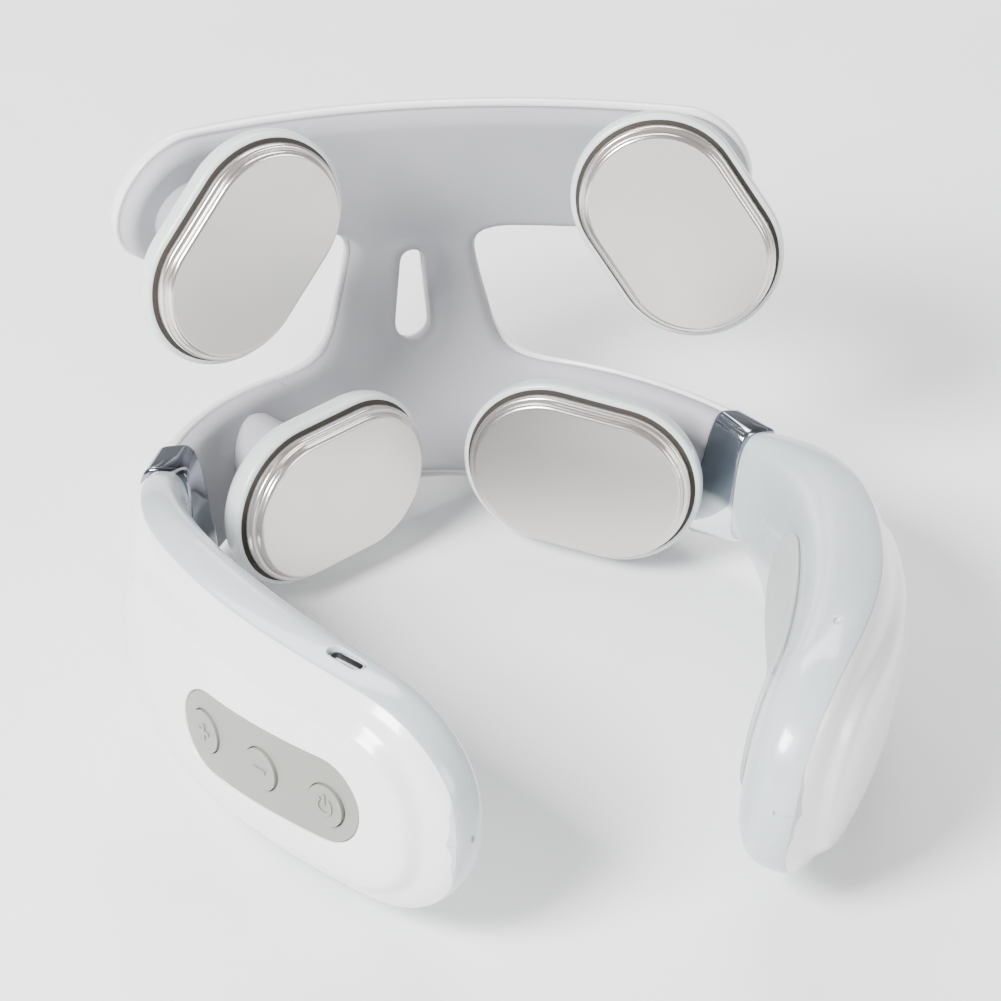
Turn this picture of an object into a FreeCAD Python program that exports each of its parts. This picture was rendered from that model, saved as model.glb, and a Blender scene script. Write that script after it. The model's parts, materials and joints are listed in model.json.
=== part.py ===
import FreeCAD, Part
import math
import os
import Sketcher
from FreeCAD import Matrix, Placement, Rotation, Vector

# Shiatsu neck massager: a sprung U-shaped neck band with an upper wing on a slotted web, two
# hollow arms joined to the band by bright collars, and four floating massage heads.
# Shapes are drawn in a design frame (top edge of the band level, x = 0 the plane of symmetry,
# +Y the back of the neck) and every part is then set down on the table by one placement.

doc = FreeCAD.newDocument("neck_massager")
dims = doc.addObject("Spreadsheet::Sheet", "dims")

DIMENSIONS = [
    # band, web and wing
    ("band_half_width", 69.8), ("band_depth", 78.0), ("band_end_y", 38.2), ("band_mid_z", -13.6),
    ("band_height", 27.0), ("band_lean", 14.0), ("skin_thickness", 4.0), ("rim_reveal", 0.8),
    ("wing_radius", 158.0), ("wing_back_y", 81.5), ("wing_mid_z", 46.6), ("wing_height", 33.0),
    ("wing_half_span", 72.3), ("wing_corner", 15.6), ("wing_lean", 17.0),
    ("slot_top_z", 21.5), ("slot_top_radius", 2.8), ("slot_low_z", 7.6), ("slot_low_radius", 4.0),
    ("strip_height", 12.0), ("strip_thickness", 0.8), ("harness_height", 7.0),
    # arms
    ("arm_wall", 2.4), ("arm_lean", -6.0), ("arm_roundness", 2.7), ("arm_tip_length", 27.0),
    ("parting_share", 0.35), ("collar_wall", 1.3), ("pad_raise", 1.1), ("pad_length", 80.0),
    ("pad_width", 33.0), ("screw_radius", 1.0), ("screw_head_radius", 1.9),
    # control side
    ("panel_length", 53.0), ("panel_width", 19.0), ("panel_recess", 0.45), ("panel_depth", 1.5),
    ("button_radius", 4.7), ("button_pitch", 17.2), ("button_proud", 0.5), ("symbol_height", 0.3),
    ("board_length", 54.0), ("board_height", 27.0), ("board_thickness", 1.2),
    ("switch_size", 6.0), ("switch_height", 3.0), ("port_width", 9.0), ("port_height", 3.2),
    ("port_depth", 7.4), ("speaker_radius", 9.0), ("speaker_depth", 4.0),
    ("cell_length", 46.0), ("cell_width", 28.0), ("cell_thickness", 8.0),
    # massage heads
    ("head_straight", 16.0), ("plate_radius", 17.5), ("base_radius", 20.0), ("base_depth", 7.0),
    ("rim_depth", 2.8), ("crown_depth", 1.7), ("crown_radius", 16.4), ("plate_wall", 0.9),
    ("gap_depth", 0.8), ("gasket_inset", 1.5), ("base_round", 2.8), ("heater_thickness", 0.4),
    ("tub_depth", 1.2), ("ball_radius", 4.2), ("ball_depth", 9.2), ("ball_clearance", 0.2),
    ("neck_radius", 2.6), ("guide_radius", 6.4), ("guide_front", 14.4), ("spring_room", 3.5),
    ("cup_radius", 8.6), ("cup_length", 7.5), ("cup_bite", 1.0), ("cup_floor_thickness", 1.0),
    ("spring_radius", 5.7), ("spring_wall", 1.1),
    # how it stands on the table
    ("table_tilt", -9.3),
]
for row, (alias, value) in enumerate(DIMENSIONS, 1):
    dims.set("A%d" % row, alias)
    dims.set("B%d" % row, str(value))
    dims.setAlias("B%d" % row, alias)
doc.recompute()


def dim(alias):
    return float(getattr(dims, alias))


def bind(obj, **links):
    """Drive properties of an object from the sheet."""
    for prop, expression in links.items():
        obj.setExpression(prop.replace("__", "."), expression)


# ---------------------------------------------------------------- general shape helpers
def smooth_curve(points, closed=False):
    curve = Part.BSplineCurve()
    curve.interpolate(Points=[Vector(*p) for p in points], PeriodicFlag=closed)
    return curve


def oval(centre, across, up, half_across, half_up, power, count=28):
    """Closed rounded-rectangle wire: a superellipse spanned by two directions."""
    ring = []
    for k in range(count):
        angle = 2 * math.pi * k / count
        c, s = math.cos(angle), math.sin(angle)
        a = math.copysign(abs(c) ** (2 / power), c) * half_across
        b = math.copysign(abs(s) ** (2 / power), s) * half_up
        ring.append(tuple(centre + across * a + up * b))
    return Part.Wire([smooth_curve(ring, True).toShape()])


def box_wire(centre, across, up, across_range, up_range):
    (a0, a1), (b0, b1) = across_range, up_range
    corners = [centre + across * a + up * b for a, b in ((a0, b0), (a1, b0), (a1, b1), (a0, b1))]
    return Part.makePolygon(corners + corners[:1])


def stadium_face(length, width, centre, along, across):
    """Flat face with straight sides and round ends."""
    r, s = width / 2.0, (length - width) / 2.0
    p = [centre + along * a + across * b for a, b in
         ((-s, r), (s, r), (s + r, 0), (s, -r), (-s, -r), (-s - r, 0))]
    edges = [Part.makeLine(p[0], p[1]), Part.Arc(p[1], p[2], p[3]).toShape(),
             Part.makeLine(p[3], p[4]), Part.Arc(p[4], p[5], p[0]).toShape()]
    return Part.Face(Part.Wire(edges))


def mirrored(shape):
    return shape.mirror(Vector(0, 0, 0), Vector(1, 0, 0))


def join(shapes):
    whole = shapes[0]
    for other in shapes[1:]:
        whole = whole.fuse(other)
    return whole.removeSplitter()


def frame_placement(origin, x_axis, y_axis):
    z_axis = x_axis.cross(y_axis).normalize()
    x_axis = y_axis.cross(z_axis).normalize()
    y_axis = z_axis.cross(x_axis)
    return Placement(Matrix(x_axis.x, y_axis.x, z_axis.x, origin.x,
                            x_axis.y, y_axis.y, z_axis.y, origin.y,
                            x_axis.z, y_axis.z, z_axis.z, origin.z, 0, 0, 0, 1))


# ---------------------------------------------------------------- band, web and wing
def band_station(angle):
    """Middle of the band at a plan angle, with its outward and upward section directions."""
    a, b = dim("band_half_width"), dim("band_depth")
    centre = Vector(a * math.sin(angle), b * math.cos(angle), dim("band_mid_z"))
    out = Vector(math.sin(angle) / a, math.cos(angle) / b, 0).normalize()
    lean = math.radians(dim("band_lean"))
    up_lean = Vector(0, 0, 1) * math.cos(lean) + out * math.sin(lean)
    out_lean = out * math.cos(lean) - Vector(0, 0, 1) * math.sin(lean)
    return centre, out_lean, up_lean


BAND_END = math.acos(dim("band_end_y") / dim("band_depth"))


def band_layer(inner, outer, height, rise=0.0, power=9.0, reach=1.0, steps=17):
    """Part of the band between two offsets from its middle surface."""
    wires = []
    for k in range(steps):
        centre, out, up = band_station(BAND_END * reach * (2.0 * k / (steps - 1) - 1.0))
        middle = centre + out * (inner + outer) / 2.0 + up * rise
        wires.append(oval(middle, out, up, (outer - inner) / 2.0, height / 2.0, power, 32))
    return Part.makeLoft(wires, True, False)


def wing_layer(inner, outer, height, half_span, rise=0.0):
    """Part of the leaning, curved wing between two offsets, with rounded ends."""
    lean = math.radians(dim("wing_lean"))
    up = Vector(0, -math.sin(lean), math.cos(lean))
    out = Vector(0, math.cos(lean), math.sin(lean))
    middle = Vector(0, dim("wing_back_y"), dim("wing_mid_z")) + up * rise
    section = Part.Face(box_wire(middle, out, up, (inner, outer), (-height / 2.0, height / 2.0)))
    axis = Vector(0, dim("wing_back_y") - dim("wing_radius"), 0)
    section.rotate(axis, Vector(0, 0, 1), 35)
    slab = section.revolve(axis, Vector(0, 0, 1), -70)
    tall = height * math.cos(lean)
    window = Part.makeBox(2 * half_span, 90, tall + 1.2,
                          Vector(-half_span, 30, dim("wing_mid_z") - tall / 2.0 - 0.6 + rise))
    uprights = [e for e in window.Edges if abs(e.tangentAt(e.FirstParameter).y) > 0.9]
    window = window.makeFillet(min(dim("wing_corner"), tall / 2.0), uprights)
    return slab.common(window)


WEB_LINE = [(74.9, -26.0), (78.4, -12.0), (81.4, 0.0), (84.3, 12.0), (86.3, 21.0), (87.0, 28.0),
            (84.8, 36.0), (81.4, 47.0)]
WEB_INSET = 0.5
WEB_EDGE = [(34.0, -3.4), (27.0, -1.0), (21.4, 1.8), (18.4, 5.6), (16.6, 10.5), (15.0, 17.0),
            (13.6, 23.5), (14.0, 27.2), (17.0, 29.9), (23.0, 31.6)]


def web_layer(inner, outer, trim=0.0):
    """Part of the neck web between two offsets from its middle surface, cut to its flared
    outline. The sheet is curved in plan like the band at its foot and like the wing at its top."""
    line = smooth_curve([(0, y, z) for y, z in WEB_LINE])
    first, last = line.FirstParameter, line.LastParameter
    band_radius = dim("band_half_width") ** 2 / dim("band_depth")
    wires = []
    for k in range(12):
        t = first + (last - first) * k / 11.0
        middle, tangent = line.value(t), line.tangent(t)[0]
        share = min(max(middle.z / 27.0, 0.0), 1.0)
        share = share * share * (3 - 2 * share)
        radius = band_radius + (dim("wing_radius") - band_radius) * share
        rows = ([], [])
        for step in range(-4, 5):
            turn = math.asin(step * 9.5 / radius)
            normal = Vector(tangent.z * math.sin(turn), tangent.z * math.cos(turn), -tangent.y)
            point = middle + Vector(radius * math.sin(turn), radius * (math.cos(turn) - 1), 0)
            for row, offset in zip(rows, (inner, outer)):
                row.append(tuple(point + normal * offset))
        near, far = rows
        far.reverse()
        wires.append(Part.Wire([smooth_curve(near).toShape(),
                                Part.makeLine(Vector(*near[-1]), Vector(*far[0])),
                                smooth_curve(far).toShape(),
                                Part.makeLine(Vector(*far[-1]), Vector(*near[0]))]))
    plate = Part.makeLoft(wires, True, False)
    right = [(x - trim, 40, z) for x, z in WEB_EDGE]
    left = [(-x, y, z) for x, y, z in right]
    outline = Part.Wire([smooth_curve(right).toShape(),
                         Part.makePolygon([Vector(*right[-1]), Vector(23 - trim, 40, 38),
                                           Vector(-23 + trim, 40, 38), Vector(*left[-1])]),
                         smooth_curve(left).toShape(),
                         Part.makePolygon([Vector(*left[0]), Vector(-34 + trim, 40, -9),
                                           Vector(34 - trim, 40, -9), Vector(*right[0])])])
    return plate.common(Part.Face(outline).extrude(Vector(0, 70, 0)))


def slot_cutter(grow=0.0):
    """Tapered slot with round ends, straight through the web."""
    z1, r1 = dim("slot_top_z"), dim("slot_top_radius") + grow
    z0, r0 = dim("slot_low_z"), dim("slot_low_radius") + grow
    slope = math.asin((r0 - r1) / (z1 - z0))
    c, s = math.cos(slope), math.sin(slope)
    p = [Vector(r0 * c, 40, z0 + r0 * s), Vector(r1 * c, 40, z1 + r1 * s), Vector(0, 40, z1 + r1),
         Vector(-r1 * c, 40, z1 + r1 * s), Vector(-r0 * c, 40, z0 + r0 * s),
         Vector(0, 40, z0 - r0)]
    outline = Part.Wire([Part.makeLine(p[0], p[1]), Part.Arc(p[1], p[2], p[3]).toShape(),
                         Part.makeLine(p[3], p[4]), Part.Arc(p[4], p[5], p[0]).toShape()])
    return Part.Face(outline).extrude(Vector(0, 70, 0))


SKIN = dim("skin_thickness")
REVEAL = dim("rim_reveal")
HARNESS_X = 9.2


def harness_shape(grow):
    """Flat cable: along the band, up one side of the web, along the wing."""
    high = dim("harness_height") + 2 * grow
    inner, outer = 2.45 - grow, 3.05 + grow
    along_band = band_layer(inner, outer, high, rise=2.0, power=6.0, reach=1.0)
    riser = web_layer(inner, outer).common(
        Part.makeBox(4.0 + 2 * grow, 90, 47.0, Vector(HARNESS_X - 2.0 - grow, 30, -11)))
    lean = wing_layer(inner, outer, high, 55.0 + grow, rise=-4.0)
    return [along_band, riser, lean]


def strip_shape(grow):
    half = dim("strip_thickness") / 2.0 + grow
    return band_layer(1.8 - half, 1.8 + half, dim("strip_height") + 2 * grow, power=8.0)


liner = join([band_layer(-SKIN, 0.0, dim("band_height")), web_layer(WEB_INSET - SKIN, -WEB_INSET),
              wing_layer(-SKIN, 0.0, dim("wing_height"), dim("wing_half_span"))])
liner = liner.cut(slot_cutter())
cover = join([band_layer(0.0, SKIN, dim("band_height") + 2 * REVEAL),
              web_layer(WEB_INSET, SKIN - WEB_INSET, -REVEAL),
              wing_layer(0.0, SKIN, dim("wing_height") + 2 * REVEAL,
                         dim("wing_half_span") + REVEAL)])
cover = cover.cut(slot_cutter()).cut(strip_shape(0.1))
for piece in harness_shape(0.2):
    cover = cover.cut(piece)
harness = join(harness_shape(0.0))
strip = strip_shape(0.0)

# ---------------------------------------------------------------- arms (drawn on the right side)
# Middle line of an arm: x, y, z, half height, half thickness.
ARM_KEYS = [(67.8, 29.8, -14.0, 13.2, 5.6), (71.6, 18.5, -15.2, 17.2, 7.6),
            (73.4, 2.0, -17.5, 22.0, 10.2), (70.0, -22.0, -19.5, 25.0, 12.3),
            (62.0, -47.0, -20.5, 26.0, 13.2), (51.0, -69.0, -21.0, 25.6, 12.5),
            (40.5, -85.0, -22.3, 24.6, 11.4), (31.5, -97.0, -23.6, 23.4, 10.6)]
spans = [0.0]
for before, after in zip(ARM_KEYS, ARM_KEYS[1:]):
    spans.append(spans[-1] + (Vector(*after[:3]) - Vector(*before[:3])).Length)
ARM_LENGTH = spans[-1]
arm_line = Part.BSplineCurve()
arm_line.interpolate(Points=[Vector(*k[:3]) for k in ARM_KEYS], Parameters=spans)
arm_size = Part.BSplineCurve()
arm_size.interpolate(Points=[Vector(k[3], k[4], 0) for k in ARM_KEYS], Parameters=spans)


def arm_station(t):
    """Centre, forward, outward and upward directions and half sizes at a distance along an arm."""
    inside = min(max(t, 0.0), ARM_LENGTH)
    forward = arm_line.tangent(inside)[0]
    forward = Vector(forward.x, forward.y, 0).normalize()
    centre = arm_line.value(inside) + forward * (t - inside)
    size = arm_size.value(inside)
    flat_out = Vector(-forward.y, forward.x, 0)
    lean = math.radians(dim("arm_lean")) * min(1.0, 0.4 + inside / 60.0)
    out = flat_out * math.cos(lean) + Vector(0, 0, 1) * math.sin(lean)
    up = Vector(0, 0, 1) * math.cos(lean) - flat_out * math.sin(lean)
    return centre, forward, out, up, size.x, size.y


def tip_factor(share, power):
    return (1.0 - share ** power) ** (1.0 / power)


def arm_body(inset, start=0.0):
    """Rounded arm volume, everywhere set in from the outer surface by the inset."""
    end = ARM_LENGTH - inset
    tip = dim("arm_tip_length")
    stations = [(start, 0.0)] + [(t, 0.0) for t in (8, 18, 32, 47, 62, 77, 92, 106)]
    stations += [(end - tip + tip * u, u) for u in (0.12, 0.34, 0.54, 0.7, 0.82, 0.91, 0.965, 0.992)]
    wires = []
    for t, u in stations:
        centre, _, out, up, high, thick = arm_station(t)
        high = (high - inset) * tip_factor(u, 2.3)
        thick = (thick - inset) * tip_factor(u, 2.7)
        wires.append(oval(centre, out, up, thick, high, dim("arm_roundness")))
    return Part.makeLoft(wires, True, False)


def outer_side(gap=0.0):
    """Everything outward of the parting line between outer cover and inner shell."""
    wires = []
    for t in (-4, 8, 20, 34, 50, 66, 82, 98, 112, 126, ARM_LENGTH + 8):
        centre, _, out, up, _, thick = arm_station(t)
        wires.append(box_wire(centre, out, up, (dim("parting_share") * thick + gap, 48), (-60, 60)))
    return Part.makeLoft(wires, True, False)


WALL = dim("arm_wall")
solid_arm = arm_body(0.0)
cavity = arm_body(WALL, start=WALL)
outside = outer_side()
arm_cover = solid_arm.common(outside).cut(cavity)
arm_shell = solid_arm.cut(outside).cut(cavity)

# wire passage from the collar into the arm
centre, forward, out, up, high, thick = arm_station(0.0)
passage = Part.Face(box_wire(centre - forward * 2, out, up, (-2.6, 2.6), (-6, 8)))
passage = passage.extrude(forward * 8)
arm_cover, arm_shell = arm_cover.cut(passage), arm_shell.cut(passage)

# comfort pad on the inner face, seated in a shallow recess that hides the screws
PAD_T = 79.0
centre, forward, out, up, high, thick = arm_station(PAD_T)
pad_seat = 0.5
pad_face = stadium_face(dim("pad_length"), dim("pad_width"), centre - out * 2, forward, up)
pad_prism = pad_face.extrude(out * -28)
seat_face = stadium_face(dim("pad_length") + 0.5, dim("pad_width") + 0.5, centre - out * 2,
                         forward, up)
seat_prism = seat_face.extrude(out * -28)
below_pad = arm_body(pad_seat)
arm_shell = arm_shell.cut(seat_prism.cut(below_pad))
comfort_pad = pad_prism.common(arm_body(-dim("pad_raise"))).cut(below_pad)

# screw posts: shell half with a seat for the head, cover half with the pilot hole
POSTS = [(50.0, 0.0), (79.0, -13.0), (108.0, -13.0)]
post_zone = arm_body(1.0)
screws = []
for t, rise in POSTS:
    centre, forward, out, up, high, thick = arm_station(t)
    base = centre + up * rise
    part_at = dim("parting_share") * thick
    inner_post = Part.makeCylinder(3.2, thick + part_at, base - out * thick, out)
    outer_post = Part.makeCylinder(3.2, thick - part_at, base + out * part_at, out)
    seat = base - out * (thick * 0.62)
    bore = Part.makeCylinder(dim("screw_radius"), 40, seat - out * 20, out)
    bore = bore.common(Part.makeCylinder(5, 20 + thick * 0.62 + part_at + 5.0, seat - out * 20, out))
    head_hole = Part.makeCylinder(dim("screw_head_radius") + 0.1, 20, seat - out * 20, out)
    arm_shell = arm_shell.fuse(inner_post.common(post_zone).cut(outside)).cut(bore).cut(head_hole)
    arm_cover = arm_cover.fuse(outer_post.common(post_zone).common(outside)).cut(bore)
    head = Part.makeCylinder(dim("screw_head_radius"), 1.3, seat - out * 1.3, out)
    cross = Part.makeBox(2.4, 0.5, 0.6, Vector(-1.2, -0.25, -0.3))
    cross = cross.fuse(Part.makeBox(0.5, 2.4, 0.6, Vector(-0.25, -1.2, -0.3)))
    cross.Placement = frame_placement(seat - out * 1.3, forward, up)
    shank = Part.makeCylinder(dim("screw_radius"), thick * 0.62 + part_at + 4.5, seat, out)
    screws.append(head.cut(cross).fuse(shank))
screw_set = Part.makeCompound(screws)

left_cover, left_shell = mirrored(arm_cover), mirrored(arm_shell)
right_cover, right_shell = arm_cover, arm_shell

# ---------------------------------------------------------------- collars
def collar_wires(extra, overlap):
    c0, o0, u0 = band_station(BAND_END)
    c1, f1, o1, u1, high, thick = arm_station(0.0)
    sizes = ((dim("band_height") / 2.0 + 1.3, SKIN + 1.2), (high + 0.5, thick + 0.2))
    f0 = Vector(o0.y, -o0.x, 0).normalize()
    wires = []
    for share in (0.0, 0.35, 0.7, 1.0):
        centre = c0 + (c1 - c0) * share
        centre += (f0 * overlap) * (1 if share == 1.0 else 0) - f0 * overlap * (share == 0.0)
        out = (o0 * (1 - share) + o1 * share).normalize()
        up = (u0 * (1 - share) + u1 * share).normalize()
        half_up = sizes[0][0] * (1 - share) + sizes[1][0] * share + extra
        half_out = sizes[0][1] * (1 - share) + sizes[1][1] * share + extra
        wires.append(oval(centre, out, up, half_out, half_up, 4.5))
    return wires


collar_wall = dim("collar_wall")
right_collar = Part.makeLoft(collar_wires(0.0, 0.0), True, False)
right_collar = right_collar.cut(Part.makeLoft(collar_wires(-collar_wall, 2.0), True, False))

# ---------------------------------------------------------------- control panel and buttons
PANEL_T = 93.0
button_frames = []
centre, forward, out, up, high, thick = arm_station(PANEL_T)
panel_depth, recess = dim("panel_depth"), dim("panel_recess")
panel_at = centre + out * 3


def panel_prism(grow):
    face = stadium_face(dim("panel_length") + 2 * grow, dim("panel_width") + 2 * grow, panel_at,
                        forward, up)
    return face.extrude(out * 30)


panel_floor = arm_body(panel_depth)
panel = panel_prism(0.0).common(arm_body(recess)).cut(panel_floor)
panel_pocket = panel_prism(0.15).cut(panel_floor)
holes = []
for step in (-1, 0, 1):
    b_centre, b_forward, b_out, b_up, _, b_thick = arm_station(PANEL_T + step * dim("button_pitch"))
    button_frames.append((b_centre, b_forward, b_out, b_up, b_thick))
    holes.append(Part.makeCylinder(dim("button_radius") + 0.25, 14, b_centre + b_out * (b_thick - 7),
                                   b_out))
for hole in holes:
    panel, panel_pocket = panel.cut(hole), panel_pocket.fuse(hole)
left_cover = left_cover.cut(mirrored(panel_pocket))
panel = mirrored(panel)

# charging socket opening in the top edge of the left inner shell
PORT_T = 104.0
p_centre, p_forward, p_out, p_up, p_high, p_thick = arm_station(PORT_T)
port_line = p_centre - p_out * 1.6
port_hole = stadium_face(dim("port_width") + 0.5, dim("port_height") + 0.5, port_line, p_forward,
                         p_out).extrude(p_up * 40)
left_shell = left_shell.cut(mirrored(port_hole))

# ---------------------------------------------------------------- table placement
tilt = Rotation(Vector(1, 0, 0), dim("table_tilt"))


# ---------------------------------------------------------------- massage heads
# Middle of each plate face, the direction it faces, and its long direction (right-hand heads).
HEADS = {
    "upper": (Vector(47.7, 38.2, 45.4), Vector(-0.288, -0.956, 0.05), Vector(0.558, -0.212, -0.8)),
    "lower": (Vector(26.9, 33.1, -11.6), Vector(-0.48, -0.877, 0.0), Vector(0.87, -0.476, -0.12)),
}


def head_frame(level, side):
    """Local frame of a head: origin on the plate face, Z out of the plate, X its long way."""
    face, normal, along = HEADS[level]
    flip = 1 if side == "right" else -1
    face = Vector(flip * face.x, face.y, face.z)
    normal = Vector(flip * normal.x, normal.y, normal.z).normalize()
    along = Vector(flip * along.x, along.y, along.z)
    along = (along - normal * along.dot(normal)).normalize()
    return frame_placement(face, along, normal.cross(along))


def cup_floor_depth(level):
    """How far behind the plate face the floor of the spring cup lies in the liner."""
    face, normal = HEADS[level][0], Vector(HEADS[level][1]).normalize()
    hit = Part.makeLine(face, face - normal * 60).common(liner)
    return min((v.Point - face).Length for v in hit.Vertexes) + dim("cup_bite")


def seat_shapes(floor, place):
    """Spring cup reaching back into the skin, and the hole the skin needs for it."""
    base = Vector(0, 0, -floor - dim("cup_floor_thickness"))
    cup = Part.makeCylinder(dim("cup_radius"), dim("cup_length") + dim("cup_floor_thickness"), base)
    bore = Part.makeCylinder(dim("guide_radius") + 0.25, dim("cup_length"), Vector(0, 0, -floor))
    hole = Part.makeCylinder(dim("cup_radius") + 0.05, 40, base - Vector(0, 0, 0.05))
    hole.Placement = place
    return cup.cut(bore), hole


cup_floor = dict((level, cup_floor_depth(level)) for level in HEADS)
cups = {}
for level in HEADS:
    for side in ("left", "right"):
        cup, hole = seat_shapes(cup_floor[level], head_frame(level, side))
        cups[(level, side)] = cup
        liner, cover = liner.cut(hole), cover.cut(hole)

nodes = []


def place_node(obj, label, local=Placement()):
    obj.Label = label
    nodes.append((obj, local))
    return obj


def shape_node(label, shape, local=Placement()):
    obj = doc.addObject("Part::Feature", label)
    obj.Shape = shape
    return place_node(obj, label, local)


shape_node("back_outer_cover", cover)
shape_node("back_inner_liner", liner)
shape_node("spring_strip", strip)
shape_node("wire_harness", harness)
for side, turn in (("right", lambda s: s), ("left", mirrored)):
    shape_node("%s_collar" % side, turn(right_collar))
    shape_node("%s_arm_comfort_pad" % side, turn(comfort_pad))
    shape_node("%s_arm_screws" % side, turn(screw_set))
shape_node("right_arm_outer_cover", right_cover)
shape_node("right_arm_inner_shell", right_shell)
shape_node("left_arm_outer_cover", left_cover)
shape_node("left_arm_inner_shell", left_shell)
shape_node("control_panel", panel)
for (level, side), cup in cups.items():
    shape_node("%s_%s_head_cup" % (level, side), cup, head_frame(level, side))


def stadium_sketch(body, name, straight, radius, height=0.0):
    """Sketch of a stadium on the body's own XY plane, driven by two sheet expressions."""
    sketch = body.newObject("Sketcher::SketchObject", name)
    plane = [f for f in body.Origin.OriginFeatures if f.Role == "XY_Plane"][0]
    sketch.AttachmentSupport = [(plane, "")]
    sketch.MapMode = "FlatFace"
    sketch.AttachmentOffset = Placement(Vector(0, 0, height), Rotation())
    s, r = 8.0, 17.0
    z = Vector(0, 0, 1)
    sketch.addGeometry([
        Part.LineSegment(Vector(-s, r, 0), Vector(s, r, 0)),
        Part.ArcOfCircle(Part.Circle(Vector(s, 0, 0), z, r), -math.pi / 2, math.pi / 2),
        Part.LineSegment(Vector(s, -r, 0), Vector(-s, -r, 0)),
        Part.ArcOfCircle(Part.Circle(Vector(-s, 0, 0), z, r), math.pi / 2, 3 * math.pi / 2)], False)
    rules = [Sketcher.Constraint("Tangent", 0, 2, 1, 2), Sketcher.Constraint("Tangent", 2, 1, 1, 1),
             Sketcher.Constraint("Tangent", 0, 1, 3, 1), Sketcher.Constraint("Tangent", 2, 2, 3, 2),
             Sketcher.Constraint("Horizontal", 0), Sketcher.Constraint("Symmetric", 1, 3, 3, 3, -1, 1),
             Sketcher.Constraint("DistanceX", 3, 3, 1, 3, 2 * s), Sketcher.Constraint("Radius", 1, r)]
    sketch.addConstraint(rules)
    sketch.renameConstraint(6, "straight")
    sketch.renameConstraint(7, "radius")
    sketch.setExpression("Constraints.straight", straight)
    sketch.setExpression("Constraints.radius", radius)
    return sketch


def pad(body, sketch, name, length, kind="PartDesign::Pad", back=False):
    step = body.newObject(kind, name)
    step.Profile = sketch
    step.setExpression("Length", length)
    step.Reversed = back
    return step


def rim_edges(feature, heights):
    doc.recompute()
    names = []
    for index, edge in enumerate(feature.Shape.Edges, 1):
        zs = [v.Z for v in edge.Vertexes]
        if any(max(abs(z - h) for z in zs) < 1e-4 for h in heights):
            names.append("Edge%d" % index)
    return names


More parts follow.
